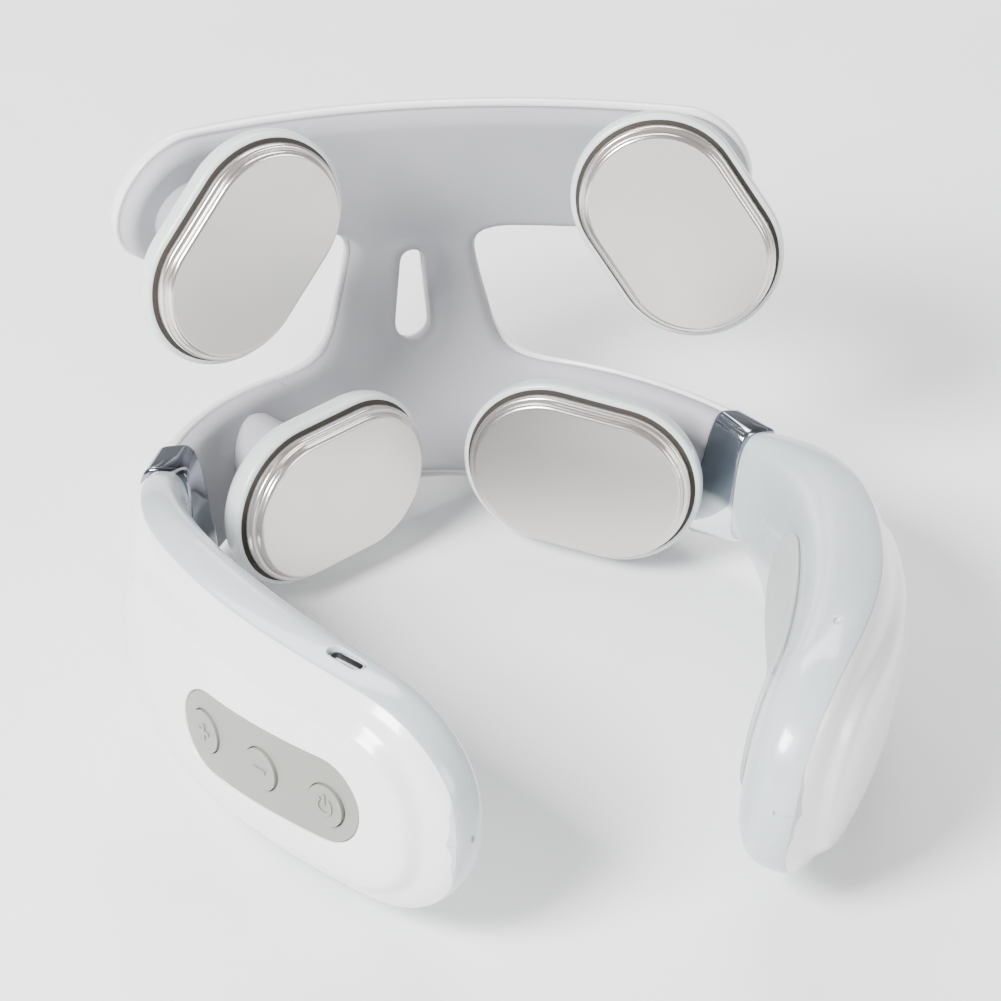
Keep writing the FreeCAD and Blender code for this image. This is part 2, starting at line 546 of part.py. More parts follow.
STRAIGHT = "dims.head_straight"
for level in HEADS:
    for side in ("left", "right"):
        name = "%s_%s_head" % (level, side)
        local = head_frame(level, side)
        rim, crown, gap = dim("rim_depth"), dim("crown_depth"), dim("gap_depth")

        # polished steel plate: rim and raised crown, hollow behind
        body = doc.addObject("PartDesign::Body", name + "_plate")
        low = stadium_sketch(body, name + "_rim_sketch", STRAIGHT, "dims.plate_radius", -rim - crown)
        pad(body, low, name + "_rim", "dims.rim_depth")
        top = stadium_sketch(body, name + "_crown_sketch", STRAIGHT, "dims.crown_radius", -crown)
        crown_pad = pad(body, top, name + "_crown", "dims.crown_depth")
        doc.recompute()
        edges = [e for e in rim_edges(crown_pad, (0.0,))]
        soften = body.newObject("PartDesign::Fillet", name + "_crown_round")
        soften.Base = (crown_pad, edges)
        soften.Radius = 0.9
        doc.recompute()
        hollow = stadium_sketch(body, name + "_hollow_sketch", STRAIGHT,
                                "dims.crown_radius - dims.plate_wall", -rim - crown)
        pocket = pad(body, hollow, name + "_hollow",
                     "dims.rim_depth + dims.crown_depth - dims.plate_wall", "PartDesign::Pocket",
                     back=True)
        doc.recompute()
        if pocket.Shape.Volume > 0.9 * soften.Shape.Volume:
            pocket.Reversed = False
        place_node(body, name + "_plate", local)

        # sealing ring in the gap between plate and base
        body = doc.addObject("PartDesign::Body", name + "_gasket")
        ring = stadium_sketch(body, name + "_ring_sketch", STRAIGHT,
                              "dims.plate_radius - dims.gasket_inset", -rim - crown - gap)
        pad(body, ring, name + "_ring", "dims.gap_depth")
        inner = stadium_sketch(body, name + "_ring_hole_sketch", STRAIGHT,
                               "dims.crown_radius - 3", -rim - crown - gap)
        doc.recompute()
        whole = body.Shape.Volume
        pocket = pad(body, inner, name + "_ring_hole", "dims.gap_depth", "PartDesign::Pocket",
                     back=True)
        doc.recompute()
        if pocket.Shape.Volume > 0.9 * whole:
            pocket.Reversed = False
        place_node(body, name + "_gasket", local)

        # heating film bonded behind the plate
        body = doc.addObject("PartDesign::Body", name + "_heater")
        film = stadium_sketch(body, name + "_film_sketch", STRAIGHT, "dims.crown_radius - 3.5",
                              -dim("plate_wall") - dim("heater_thickness"))
        pad(body, film, name + "_film", "dims.heater_thickness")
        place_node(body, name + "_heater", local)

        # base: round-edged tub with a ball seat open to the back
        body = doc.addObject("PartDesign::Body", name + "_base_block")
        front = -rim - crown - gap
        block_sketch = stadium_sketch(body, name + "_block_sketch", STRAIGHT, "dims.base_radius",
                                      front - dim("base_depth"))
        block = pad(body, block_sketch, name + "_block", "dims.base_depth")
        edges = rim_edges(block, (front, front - dim("base_depth")))
        round_all = body.newObject("PartDesign::Fillet", name + "_block_round")
        round_all.Base = (block, edges)
        bind(round_all, Radius="dims.base_round")
        doc.recompute()
        tub_sketch = stadium_sketch(body, name + "_tub_sketch", STRAIGHT,
                                    "dims.crown_radius - 3", front)
        pad(body, tub_sketch, name + "_tub", "dims.tub_depth", "PartDesign::Pocket")
        doc.recompute()
        ball = doc.addObject("Part::Sphere", name + "_seat")
        bind(ball, Radius="dims.ball_radius + dims.ball_clearance")
        ball.Placement = Placement(Vector(0, 0, -dim("ball_depth")), Rotation())
        mouth = doc.addObject("Part::Cone", name + "_mouth")
        bind(mouth, Radius1="dims.ball_radius - 0.1", Radius2="dims.neck_radius + 0.6",
             Height="4")
        mouth.Placement = Placement(Vector(0, 0, front - dim("base_depth") - 2.0), Rotation())
        cutters = doc.addObject("Part::Fuse", name + "_seat_and_mouth")
        cutters.Base, cutters.Tool = ball, mouth
        base = doc.addObject("Part::Cut", name + "_base")
        base.Base, base.Tool = body, cutters
        place_node(base, name + "_base", local)

        # plunger: ball, neck and guide in one turned piece
        ball = doc.addObject("Part::Sphere", name + "_ball")
        bind(ball, Radius="dims.ball_radius")
        ball.Placement = Placement(Vector(0, 0, -dim("ball_depth")), Rotation())
        neck = doc.addObject("Part::Cylinder", name + "_neck")
        bind(neck, Radius="dims.neck_radius", Height="dims.guide_front - dims.ball_depth")
        neck.Placement = Placement(Vector(0, 0, -dim("guide_front")), Rotation())
        guide = doc.addObject("Part::Cylinder", name + "_guide")
        guide_back = cup_floor[level] - dim("spring_room")
        bind(guide, Radius="dims.guide_radius",
             Height="%.4f - dims.spring_room - dims.guide_front" % cup_floor[level])
        guide.Placement = Placement(Vector(0, 0, -guide_back), Rotation())
        plunger = doc.addObject("Part::MultiFuse", name + "_plunger")
        plunger.Shapes = [ball, neck, guide]
        place_node(plunger, name + "_plunger", local)

        # silicone bellows that springs the plunger back from the cup floor
        tall, radius, wall = dim("spring_room") - 0.2, dim("spring_radius"), dim("spring_wall")
        outer = [Vector(radius - (0.9 if k in (2, 4) else 0.0), 0, tall * k / 6.0) for k in range(7)]
        inner = [point - Vector(wall, 0, 0) for point in reversed(outer)]
        ring = Part.Face(Part.makePolygon(outer + inner + outer[:1]))
        bellows = ring.revolve(Vector(0, 0, 0), Vector(0, 0, 1), 360)
        raise_ring = Placement(Vector(0, 0, 0.1 - cup_floor[level]), Rotation())
        shape_node(name + "_spring", bellows, local.multiply(raise_ring))

# ---------------------------------------------------------------- left arm internals
left = Matrix(-1, 0, 0, 0, 0, 1, 0, 0, 0, 0, 1, 0, 0, 0, 0, 1)
centre, forward, out, up, high, thick = arm_station(PANEL_T)
left_out = left.multVec(out)
left_up = left.multVec(up)
board_frame = frame_placement(left.multVec(centre), left.multVec(forward), left_up)
BOARD_BACK = 2.0


def local_box(name, length, height, depth, x, y, z):
    """Box centred on x and y of its parent frame, starting at z, driven by the sheet."""
    box = doc.addObject("Part::Box", name)
    bind(box, Length=length, Width=height, Height=depth)
    doc.recompute()
    box.Placement = Placement(Vector(x - box.Length.Value / 2, y - box.Width.Value / 2, z), Rotation())
    return box


board = local_box("board_plate", "dims.board_length", "dims.board_height", "dims.board_thickness",
                  -6, 5, BOARD_BACK)
main_board = doc.addObject("Part::Chamfer", "main_board")
main_board.Base = board
main_board.Edges = [(k, 1.5, 1.5) for k in (1, 3, 5, 7)]
place_node(main_board, "main_board", board_frame)

switch_top = BOARD_BACK + dim("board_thickness") + dim("switch_height")
switches, chips = [], []
labels = ("plus_button", "minus_button", "power_button")
for index, (b_centre, b_forward, b_out, b_up, b_thick) in enumerate(button_frames):
    face = left.multVec(b_centre + b_out * (b_thick - recess + dim("button_proud")))
    frame = frame_placement(face, left.multVec(b_forward), left.multVec(b_up))
    spot = board_frame.inverse().multVec(face)
    tilt_share = board_frame.inverse().Rotation.multVec(left.multVec(b_out)).z
    reach = (spot.z - switch_top - 0.62) / tilt_share
    foot = spot + board_frame.inverse().Rotation.multVec(left.multVec(b_out)) * -reach
    switches.append(local_box("switch_%d" % index, "dims.switch_size", "dims.switch_size",
                              "dims.switch_height", foot.x, foot.y, BOARD_BACK
                              + dim("board_thickness")))
    disc = doc.addObject("Part::Cylinder", labels[index] + "_disc")
    bind(disc, Radius="dims.button_radius", Height="3.4")
    disc.Placement = Placement(Vector(0, 0, -3.4), Rotation())
    lip = doc.addObject("Part::Cylinder", labels[index] + "_lip")
    bind(lip, Radius="dims.button_radius + 0.9", Height="0.8")
    lip.Placement = Placement(Vector(0, 0, -4.0), Rotation())
    stem = doc.addObject("Part::Cylinder", labels[index] + "_stem")
    stem.Radius, stem.Height = 1.5, reach - 3.6
    stem.Placement = Placement(Vector(0, 0, -reach), Rotation())
    marks = []
    if index < 2:
        bars = [(3.8, 0.8)] if index == 1 else [(3.8, 0.8), (0.8, 3.8)]
        for k, (length, width) in enumerate(bars):
            bar = doc.addObject("Part::Box", "%s_mark_%d" % (labels[index], k))
            bar.Length, bar.Width = length, width
            bind(bar, Height="dims.symbol_height + 0.2")
            bar.Placement = Placement(Vector(-length / 2, -width / 2, -0.2), Rotation())
            marks.append(bar)
    else:
        ring = doc.addObject("Part::Cylinder", "power_ring")
        ring.Radius, ring.Angle = 2.2, 290
        bind(ring, Height="dims.symbol_height + 0.2")
        ring.Placement = Placement(Vector(0, 0, -0.2), Rotation(Vector(0, 0, 1), 125))
        core = doc.addObject("Part::Cylinder", "power_ring_core")
        core.Radius, core.Height = 1.5, 2
        core.Placement = Placement(Vector(0, 0, -1), Rotation())
        open_ring = doc.addObject("Part::Cut", "power_open_ring")
        open_ring.Base, open_ring.Tool = ring, core
        bar = doc.addObject("Part::Box", "power_bar")
        bar.Length, bar.Width = 0.7, 2.4
        bind(bar, Height="dims.symbol_height + 0.2")
        bar.Placement = Placement(Vector(-0.35, 0.3, -0.2), Rotation())
        marks = [open_ring, bar]
    button = doc.addObject("Part::MultiFuse", labels[index])
    button.Shapes = [disc, lip, stem] + marks
    place_node(button, labels[index], frame)

switch_group = doc.addObject("Part::Compound", "tact_switches")
switch_group.Links = switches
place_node(switch_group, "tact_switches", board_frame)
for k, (x, y, length, width, depth) in enumerate([(-14, 9, 7, 7, 1), (12, 9, 5, 4, 1.2),
                                                  (-24, 3, 4, 3, 1.4)]):
    chip = doc.addObject("Part::Box", "chip_%d" % k)
    chip.Length, chip.Width, chip.Height = length, width, depth
    chip.Placement = Placement(Vector(x - length / 2, y - width / 2, BOARD_BACK - depth), Rotation())
    chips.append(chip)
chip_group = doc.addObject("Part::Compound", "board_chips")
chip_group.Links = chips
place_node(chip_group, "board_chips", board_frame)
coil = doc.addObject("Part::Box", "pulse_transformer")
coil.Length, coil.Width, coil.Height = 9, 8, 5.5
coil.Placement = Placement(Vector(-4, -7, BOARD_BACK - 5.5), Rotation())
coil_node = doc.addObject("Part::Compound", "pulse_transformer_body")
coil_node.Links = [coil]
place_node(coil_node, "pulse_transformer", board_frame)
coil.Label = "pulse_transformer_block"
coil_node.Label = "pulse_transformer"

port_place = frame_placement(left.multVec(port_line + p_up * (p_high - 0.9)),
                             left.multVec(p_forward), left.multVec(p_out))
port = Part.Face(stadium_face(dim("port_width"), dim("port_height"), Vector(0, 0, 0),
                              Vector(1, 0, 0), Vector(0, 1, 0)).OuterWire)
shell_port = port.extrude(Vector(0, 0, dim("port_depth")))
mouth = stadium_face(dim("port_width") - 0.7, dim("port_height") - 0.7, Vector(0, 0, 0),
                     Vector(1, 0, 0), Vector(0, 1, 0)).extrude(Vector(0, 0, dim("port_depth") - 0.8))
tongue = Part.makeBox(6.6, 0.7, dim("port_depth") - 1.4, Vector(-3.3, -0.35, 0.7))
z_into = 1 if port_place.Rotation.multVec(Vector(0, 0, 1)).z < 0 else -1
port_shape = shell_port.cut(mouth).fuse(tongue)
if z_into < 0:
    port_place = port_place.multiply(Placement(Vector(), Rotation(Vector(1, 0, 0), 180)))
shape_node("charging_port", port_shape, port_place)

s_centre, s_forward, s_out, s_up, _, s_thick = arm_station(64.0)
speaker_frame = frame_placement(left.multVec(s_centre - s_out * 4.0 - s_up * 6),
                                left.multVec(s_forward), left.multVec(s_up))
speaker = doc.addObject("Part::Cylinder", "voice_speaker")
bind(speaker, Radius="dims.speaker_radius", Height="dims.speaker_depth")
speaker_node = doc.addObject("Part::Compound", "voice_speaker_unit")
speaker_node.Links = [speaker]
speaker.Placement = Placement(Vector(0, 0, -dim("speaker_depth") / 2), Rotation())
speaker.Label = "voice_speaker_drum"
place_node(speaker_node, "voice_speaker", speaker_frame)

# ---------------------------------------------------------------- right arm internals
c_centre, c_forward, c_out, c_up, _, _ = arm_station(79.0)
cell_frame = frame_placement(c_centre + c_up * 5, c_forward, c_up)
cell = local_box("cell_block", "dims.cell_length", "dims.cell_width", "dims.cell_thickness", 0, 1.5,
                 -4.2)
cell_node = doc.addObject("Part::Fillet", "battery_cell")
cell_node.Base = cell
cell_node.Edges = [(k, 1.6, 1.6) for k in range(1, 13)]
guard = local_box("guard_block", "4", "12", "3", 25.5, 6, -1.5)
guard_node = doc.addObject("Part::Compound", "battery_guard_board")
guard_node.Links = [guard]
place_node(cell_node, "battery_cell", cell_frame)
place_node(guard_node, "battery_guard_board", cell_frame)

# ---------------------------------------------------------------- set down on the table
doc.recompute()
for obj, local in nodes:
    obj.Placement = Placement(Vector(), tilt).multiply(local)
doc.recompute()
whole = Part.makeCompound([obj.Shape for obj, _ in nodes]).optimalBoundingBox(False, False)
shift = Vector(-(whole.XMin + whole.XMax) / 2, -(whole.YMin + whole.YMax) / 2, -whole.ZMin)
for obj, local in nodes:
    obj.Placement = Placement(shift, tilt).multiply(local)
doc.recompute()

for obj in doc.Objects:
    if "Invalid" in obj.State or "Error" in obj.State:
        raise RuntimeError("feature failed: " + obj.Label)
os.makedirs("parts", exist_ok=True)
print("table shift", shift, "size", whole.XLength, whole.YLength, whole.ZLength)
for obj, _ in nodes:
    shape = obj.Shape
    if shape.isNull() or not shape.isValid() or not shape.Solids:
        raise RuntimeError("bad shape: " + obj.Label)
    shape.exportStep("parts/%s.step" % obj.Label)
    print("%-32s solids %d volume %.0f" % (obj.Label, len(shape.Solids), shape.Volume))
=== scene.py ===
import json
import math
import bmesh
import bpy
import numpy as np
from mathutils import Matrix, Vector
from mathutils.geometry import delaunay_2d_cdt


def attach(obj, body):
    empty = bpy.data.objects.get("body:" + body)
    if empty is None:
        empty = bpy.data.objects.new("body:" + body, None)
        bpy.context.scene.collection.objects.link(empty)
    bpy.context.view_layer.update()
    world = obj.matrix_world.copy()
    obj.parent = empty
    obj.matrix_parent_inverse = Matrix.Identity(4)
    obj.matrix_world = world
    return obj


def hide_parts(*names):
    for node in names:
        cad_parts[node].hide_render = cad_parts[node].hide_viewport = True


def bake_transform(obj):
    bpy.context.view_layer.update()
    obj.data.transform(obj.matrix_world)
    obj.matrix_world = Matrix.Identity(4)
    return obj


# Looks of a shiatsu neck massager. Shapes are worked out in a design frame in millimetres, in
# which the band's top edge is level and x = 0 is the plane of symmetry; place() then turns and
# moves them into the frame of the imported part, in metres.

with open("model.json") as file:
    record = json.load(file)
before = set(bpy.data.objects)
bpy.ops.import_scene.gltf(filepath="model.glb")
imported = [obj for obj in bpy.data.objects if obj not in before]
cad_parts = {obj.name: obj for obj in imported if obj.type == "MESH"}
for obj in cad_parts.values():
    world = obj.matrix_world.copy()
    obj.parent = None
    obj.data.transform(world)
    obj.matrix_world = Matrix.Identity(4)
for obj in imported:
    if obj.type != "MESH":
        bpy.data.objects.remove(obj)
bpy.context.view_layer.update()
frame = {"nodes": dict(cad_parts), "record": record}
nodes = frame["nodes"]

TILT = math.radians(-9.3)
SHIFT = np.array([0.0, 3.8017, 40.5643])
TURN = np.array([[1, 0, 0],
                 [0, math.cos(TILT), -math.sin(TILT)],
                 [0, math.sin(TILT), math.cos(TILT)]])


def place(points):
    """Design-frame points in millimetres to the part's frame in metres."""
    return (np.asarray(points, float) @ TURN.T + SHIFT) / 1000.0


# ------------------------------------------------------------------ camera, light and floor
def make_camera():
    """Long lens in front of the left arm, looking down; its angles are in the design frame."""
    yaw, pitch, roll = math.radians(-16.92), math.radians(-26.02), math.radians(-3.71)
    turn = (Matrix.Rotation(yaw, 3, "Z") @ Matrix.Rotation(pitch, 3, "X")
            @ Matrix.Rotation(roll, 3, "Y"))
    turn = Matrix([list(r) for r in TURN]) @ turn
    right, forward, up = turn.col[0], turn.col[1], turn.col[2]
    rotation = Matrix((right, up, -forward)).transposed()
    data = bpy.data.cameras.new("camera")
    data.lens, data.sensor_width = 171.04, 36.0
    camera = bpy.data.objects.new("camera", data)
    camera.matrix_world = (Matrix.Translation(Vector(place((-268.7, -880.7, 451.2))))
                           @ rotation.to_4x4())
    bpy.context.scene.collection.objects.link(camera)
    bpy.context.scene.camera = camera


def area_light(name, where, aim, size, power):
    """Softbox at a place in metres, turned to face its aim."""
    data = bpy.data.lights.new(name, "AREA")
    data.shape, data.size, data.size_y = "RECTANGLE", size[0], size[1]
    data.energy = power
    light = bpy.data.objects.new(name, data)
    light.location = where
    light.rotation_euler = (Vector(aim) - Vector(where)).to_track_quat("-Z", "Y").to_euler()
    bpy.context.scene.collection.objects.link(light)


# ------------------------------------------------------------------ finishes
class Wire:
    """A socket in a finish's node tree. Arithmetic on it adds Math nodes."""

    def __init__(self, finish, socket):
        self.finish, self.socket = finish, socket

    def _math(self, operation, first, second=0.0):
        return self.finish.node("ShaderNodeMath", {"operation": operation},
                                {0: first, 1: second})

    def __add__(self, other):
        return self._math("ADD", self, other)

    def __radd__(self, other):
        return self._math("ADD", other, self)

    def __sub__(self, other):
        return self._math("SUBTRACT", self, other)

    def __rsub__(self, other):
        return self._math("SUBTRACT", other, self)

    def __mul__(self, other):
        return self._math("MULTIPLY", self, other)

    def __rmul__(self, other):
        return self._math("MULTIPLY", other, self)

    def __abs__(self):
        return self._math("ABSOLUTE", self)


class Finish:
    """A material and its node tree."""

    def __init__(self, name):
        self.material = bpy.data.materials.new(name)
        self.material.use_nodes = True
        self.tree = self.material.node_tree
        self.shader = self.tree.nodes["Principled BSDF"]
        self.place = self.node("ShaderNodeTexCoord", {}, {}, "Object")

    def node(self, kind, settings=None, values=None, output=0):
        """Adds a node: its settings first, then the values or links of its sockets."""
        made = self.tree.nodes.new(kind)
        for key, value in (settings or {}).items():
            setattr(made, key, value)
        for key, value in (values or {}).items():
            self.feed(made.inputs[key], value)
        return Wire(self, made.outputs[output])

    def feed(self, socket, value):
        """Links a wire to a socket, or sets the socket's own value."""
        if isinstance(value, Wire):
            self.tree.links.new(value.socket, socket)
        else:
            socket.default_value = value

    def noise(self, scale, detail=3.0, stretch=(1, 1, 1)):
        """Cloudy noise from 0 to 1, so many waves to the metre, stretched along the axes."""
        where = self.node("ShaderNodeVectorMath", {"operation": "MULTIPLY"},
                          {0: self.place, 1: stretch})
        return self.node("ShaderNodeTexNoise", {},
                         {"Vector": where, "Scale": scale, "Detail": detail})

    def mix(self, share, first, second):
        """A colour between two colours."""
        made = self.tree.nodes.new("ShaderNodeMix")
        made.data_type = "RGBA"
        self.feed(made.inputs[0], share)
        self.feed(made.inputs[6], first)
        self.feed(made.inputs[7], second)
        return Wire(self, made.outputs[2])

    def smooth(self, value, low, high):
        """0 below low, 1 above high, with a soft step between."""
        return self.node("ShaderNodeMapRange", {"interpolation_type": "SMOOTHSTEP"},
                         {"Value": value, "From Min": low, "From Max": high})

    def relief(self, height, depth):
        """Fine surface relief: a height from 0 to 1 stands for 0.2 mm at full depth."""
        bump = self.node("ShaderNodeBump", {}, {"Height": height, "Strength": depth,
                                                "Distance": 0.0002})
        self.feed(self.shader.inputs["Normal"], bump)

    def set(self, **values):
        """Feeds the shader's sockets by name and hands back the material."""
        for key, value in values.items():
            self.feed(self.shader.inputs[key.replace("_", " ")], value)
        return self.material


def rgb(red, green, blue):
    """Linear colour from display values of 0 to 255."""
    return tuple((c / 255.0) ** 2.2 for c in (red, green, blue)) + (1.0,)


def moulded(name, colour, shade, rough, grain, depth, coat=0.0, metal=0.0, stretch=(1, 1, 1)):
    """Moulded or drawn surface: broad slow tone changes, a fine grain and uneven gloss."""
    finish = Finish(name)
    tone = finish.smooth(finish.noise(28.0, 4.0), 0.35, 0.7)
    fine = finish.noise(grain, 2.0, stretch)
    finish.relief(fine, depth)
    return finish.set(Base_Color=finish.mix(tone, colour, shade), Metallic=metal,
                      Roughness=rough + (fine - 0.5) * 0.12 * rough + (tone - 0.5) * 0.08 * rough,
                      Coat_Weight=coat, Coat_Roughness=0.08, IOR=1.48)


def board_finish():
    """Green solder mask with darker copper traces: bands of two crossed waves, cut by noise."""
    finish = Finish("circuit_board")
    along = finish.node("ShaderNodeTexWave", {"bands_direction": "X"},
                        {"Vector": finish.place, "Scale": 260.0, "Distortion": 3.0})
    up = finish.node("ShaderNodeTexWave", {"bands_direction": "Z"},
                     {"Vector": finish.place, "Scale": 220.0, "Distortion": 4.0})
    trace = finish.smooth(along * finish.noise(90.0) + up * 0.5, 0.55, 0.62)
    finish.relief(trace, 0.3)
    return finish.set(Base_Color=finish.mix(trace, rgb(22, 92, 52), rgb(46, 130, 74)),
                      Roughness=0.45 - trace * 0.15)


def film_finish():
    """Amber film with a copper track: narrow bands of a wave."""
    finish = Finish("heater_film")
    track = finish.smooth(finish.node("ShaderNodeTexWave", {"bands_direction": "Z"},
                                      {"Vector": finish.place, "Scale": 130.0}), 0.45, 0.6)
    return finish.set(Base_Color=finish.mix(track, rgb(198, 120, 30), rgb(196, 128, 92)),
                      Metallic=track * 0.8, Roughness=0.5 - track * 0.2)


def chrome_finish():
    """Bright plate with painted reflections: three soft bands by height, their edges waved by
    noise.
    """
    finish = Finish("chrome_trim")
    cloud = finish.noise(45.0, 2.0)
    level = finish.node("ShaderNodeSeparateXYZ", {}, {0: finish.place}, 2) + cloud * 0.012
    upper = finish.smooth(level, 0.0395, 0.0425)
    swirl = finish.smooth(abs(finish.noise(95.0, 1.0) - 0.5), 0.012, 0.035)
    lower = 1 - finish.smooth(level, 0.0215, 0.0245)
    # Painted reflections by height: bright below, grey in the middle, and on top a dark reflection
    # crossed by bright swirls.
    body = finish.mix(lower, rgb(138, 143, 152), rgb(236, 238, 241))
    swirled_reflection = finish.mix(swirl, rgb(226, 228, 232), rgb(52, 52, 57))
    return finish.set(Base_Color=finish.mix(upper, body, swirled_reflection), Metallic=1.0,
                      Roughness=0.05 + cloud * 0.05)


FINISH = {
    "white_shell": moulded("white_shell", rgb(238, 237, 235), rgb(232, 232, 231), 0.24, 900, 0.02,
                           coat=0.5),
    "cool_shell": moulded("cool_shell", rgb(188, 196, 200), rgb(181, 190, 194), 0.26, 900, 0.02,
                          coat=0.5),
    "grey_liner": moulded("grey_liner", rgb(170, 169, 174), rgb(163, 163, 168), 0.62, 1800, 0.10),
    "comfort_pad": moulded("comfort_pad", rgb(174, 180, 180), rgb(168, 174, 174), 0.5, 1600, 0.08),
    "grey_panel": moulded("grey_panel", rgb(130, 132, 125), rgb(124, 126, 119), 0.42, 1300, 0.06),
    "head_base": moulded("head_base", rgb(208, 215, 215), rgb(202, 209, 209), 0.3, 1000, 0.03,
                         coat=0.35),
    "polished_steel": moulded("polished_steel", rgb(222, 214, 209), rgb(213, 206, 202), 0.24, 500,
                              0.02, metal=1.0, stretch=(0.2, 1, 3)),
    "chrome_trim": chrome_finish(),
    "dark_seal": moulded("dark_seal", rgb(58, 54, 50), rgb(48, 45, 42), 0.6, 1500, 0.08),
    "spring_steel": moulded("spring_steel", rgb(160, 163, 168), rgb(148, 151, 156), 0.32, 700,
                            0.04, metal=1.0, stretch=(0.1, 1, 4)),
    "soft_silicone": moulded("soft_silicone", rgb(206, 208, 210), rgb(198, 200, 203), 0.55, 1400,
                             0.06),
    "acetal": moulded("acetal", rgb(228, 226, 220), rgb(220, 218, 212), 0.4, 1200, 0.04),
    "circuit_board": board_finish(),
    "black_component": moulded("black_component", rgb(34, 34, 36), rgb(44, 44, 47), 0.5, 2200,
                               0.12),
    "heater_film": film_finish(),
    "cable_jacket": moulded("cable_jacket", rgb(70, 72, 78), rgb(58, 60, 66), 0.5, 1500, 0.08),
    "cell_wrap": moulded("cell_wrap", rgb(92, 132, 168), rgb(84, 122, 158), 0.35, 600, 0.05,
                         coat=0.4),
    "screw_steel": moulded("screw_steel", rgb(150, 150, 152), rgb(132, 132, 135), 0.35, 900, 0.06,
                           metal=1.0),
}
slot_of = {row["node"]: row["material_slot"] for row in frame["record"]["subparts"]}
for name, node in nodes.items():
    node.data.materials.clear()
    quiet = name.endswith(("_cup", "_plunger", "_spring"))
    node.data.materials.append(FINISH["grey_liner" if quiet else slot_of[name]])


# ------------------------------------------------------------------ mesh helpers
def soft_step(value, low, high):
    """0 below low, 1 above high, and 3s^2 - 2s^3 between."""
    share = np.clip((value - low) / (high - low), 0.0, 1.0)
    return share * share * (3 - 2 * share)


def rounding(distance, radius):
    """How far a quarter-round edge has dropped at a distance in from the edge."""
    left = np.clip(radius - distance, 0.0, radius)
    return radius - np.sqrt(radius * radius - left * left)


def unit(vectors):
    """Vectors divided by their lengths."""
    return vectors / np.linalg.norm(vectors, axis=-1, keepdims=True)


def spline(knots, values):
    """Natural cubic spline through the values: returns a function of the place along it."""
    knots, values = np.asarray(knots, float), np.asarray(values, float)
    h = np.diff(knots)
    n = len(knots)
    matrix, right = np.eye(n), np.zeros((n,) + values.shape[1:])
    slope = np.diff(values, axis=0) / h.reshape((-1,) + (1,) * (values.ndim - 1))
    for k in range(1, n - 1):
        matrix[k, k - 1:k + 2] = h[k - 1], 2 * (h[k - 1] + h[k]), h[k]
        right[k] = 6 * (slope[k] - slope[k - 1])
    bend = np.linalg.solve(matrix, right)

    def at(place_on_it):
        s = np.asarray(place_on_it, float)
        k = np.clip(np.searchsorted(knots, s, side="right") - 1, 0, n - 2)
        a, b, step = knots[k + 1] - s, s - knots[k], h[k]
        if values.ndim > 1:
            a, b, step = a[..., None], b[..., None], step[..., None]
        return ((bend[k] * a ** 3 + bend[k + 1] * b ** 3) / (6 * step)
                + (values[k] / step - bend[k] * step / 6) * a
                + (values[k + 1] / step - bend[k + 1] * step / 6) * b)
    return at


def grid_faces(rows, columns, wrap=False, first=0):
    """Quads between neighbouring rows and columns of a grid of vertices."""
    last = columns if wrap else columns - 1
    i, j = np.meshgrid(np.arange(rows - 1), np.arange(last), indexing="ij")
    k = (j + 1) % columns
    return (np.stack([i * columns + j, i * columns + k, (i + 1) * columns + k,
                      (i + 1) * columns + j], -1).reshape(-1, 4) + first)


def make_piece(name, points, faces, finish, body, replaced=(), normals=None, sharp=38.0,
               bend=None):
    """Mesh piece from design-frame points, closed up, turned outwards and put on its body, unless
    bend is given: then it is put on no body.
    """
    mesh = bpy.data.meshes.new(name)
    mesh.from_pydata(place(points).tolist(), [], [list(map(int, f)) for f in faces])
    work = bmesh.new()
    work.from_mesh(mesh)
    if normals is None:
        bmesh.ops.remove_doubles(work, verts=work.verts, dist=2e-7)
        bmesh.ops.dissolve_degenerate(work, edges=work.edges, dist=1e-8)
    bmesh.ops.recalc_face_normals(work, faces=work.faces)
    if work.calc_volume(signed=True) < 0:
        bmesh.ops.reverse_faces(work, faces=work.faces)
    if normals is None:
        loose = [v for v in work.verts if not v.link_faces]
        bmesh.ops.delete(work, geom=loose, context="VERTS")
    work.to_mesh(mesh)
    work.free()
    mesh.shade_smooth()
    if normals is None:
        mesh.set_sharp_from_angle(angle=math.radians(sharp))
    else:
        mesh.normals_split_custom_set_from_vertices((normals @ TURN.T).tolist())
    mesh.materials.append(FINISH[finish])
    piece = bpy.data.objects.new(name, mesh)
    bpy.context.scene.collection.objects.link(piece)
    if bend:
        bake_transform(piece)
    else:
        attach(piece, body)
    if replaced:
        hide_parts(*replaced)
    return piece


def inside(points, loop):
    """Which 2-D points lie in a closed loop: an odd number of its edges pass to their right."""
    x, y = points[:, :1], points[:, 1:]
    a, b = loop, np.roll(loop, -1, axis=0)
    crosses = (a[None, :, 1] > y) != (b[None, :, 1] > y)
    rise = np.where(b[:, 1] == a[:, 1], 1e-12, b[:, 1] - a[:, 1])
    at = (b[:, 0] - a[:, 0])[None] * (y - a[None, :, 1]) / rise[None] + a[None, :, 0]
    return (crosses & (x < at)).sum(1) % 2 == 1


def distance_to(points, loop):
    """Distance of 2-D points from a closed loop."""
    a, b = loop[None], np.roll(loop, -1, axis=0)[None]
    d, p = b - a, points[:, None]
    share = np.clip(((p - a) * d).sum(2) / np.maximum((d * d).sum(2), 1e-12), 0, 1)
    return np.sqrt((((a + d * share[..., None]) - p) ** 2).sum(2)).min(1)


def even_loop(points, spacing):
    """Points evenly spaced round a closed loop."""
    closed = np.vstack([points, points[:1]])
    run = np.concatenate([[0], np.cumsum(np.linalg.norm(np.diff(closed, axis=0), axis=1))])
    at = np.linspace(0, run[-1], max(12, int(run[-1] / spacing)), endpoint=False)
    return np.stack([np.interp(at, run, closed[:, k]) for k in (0, 1)], 1)


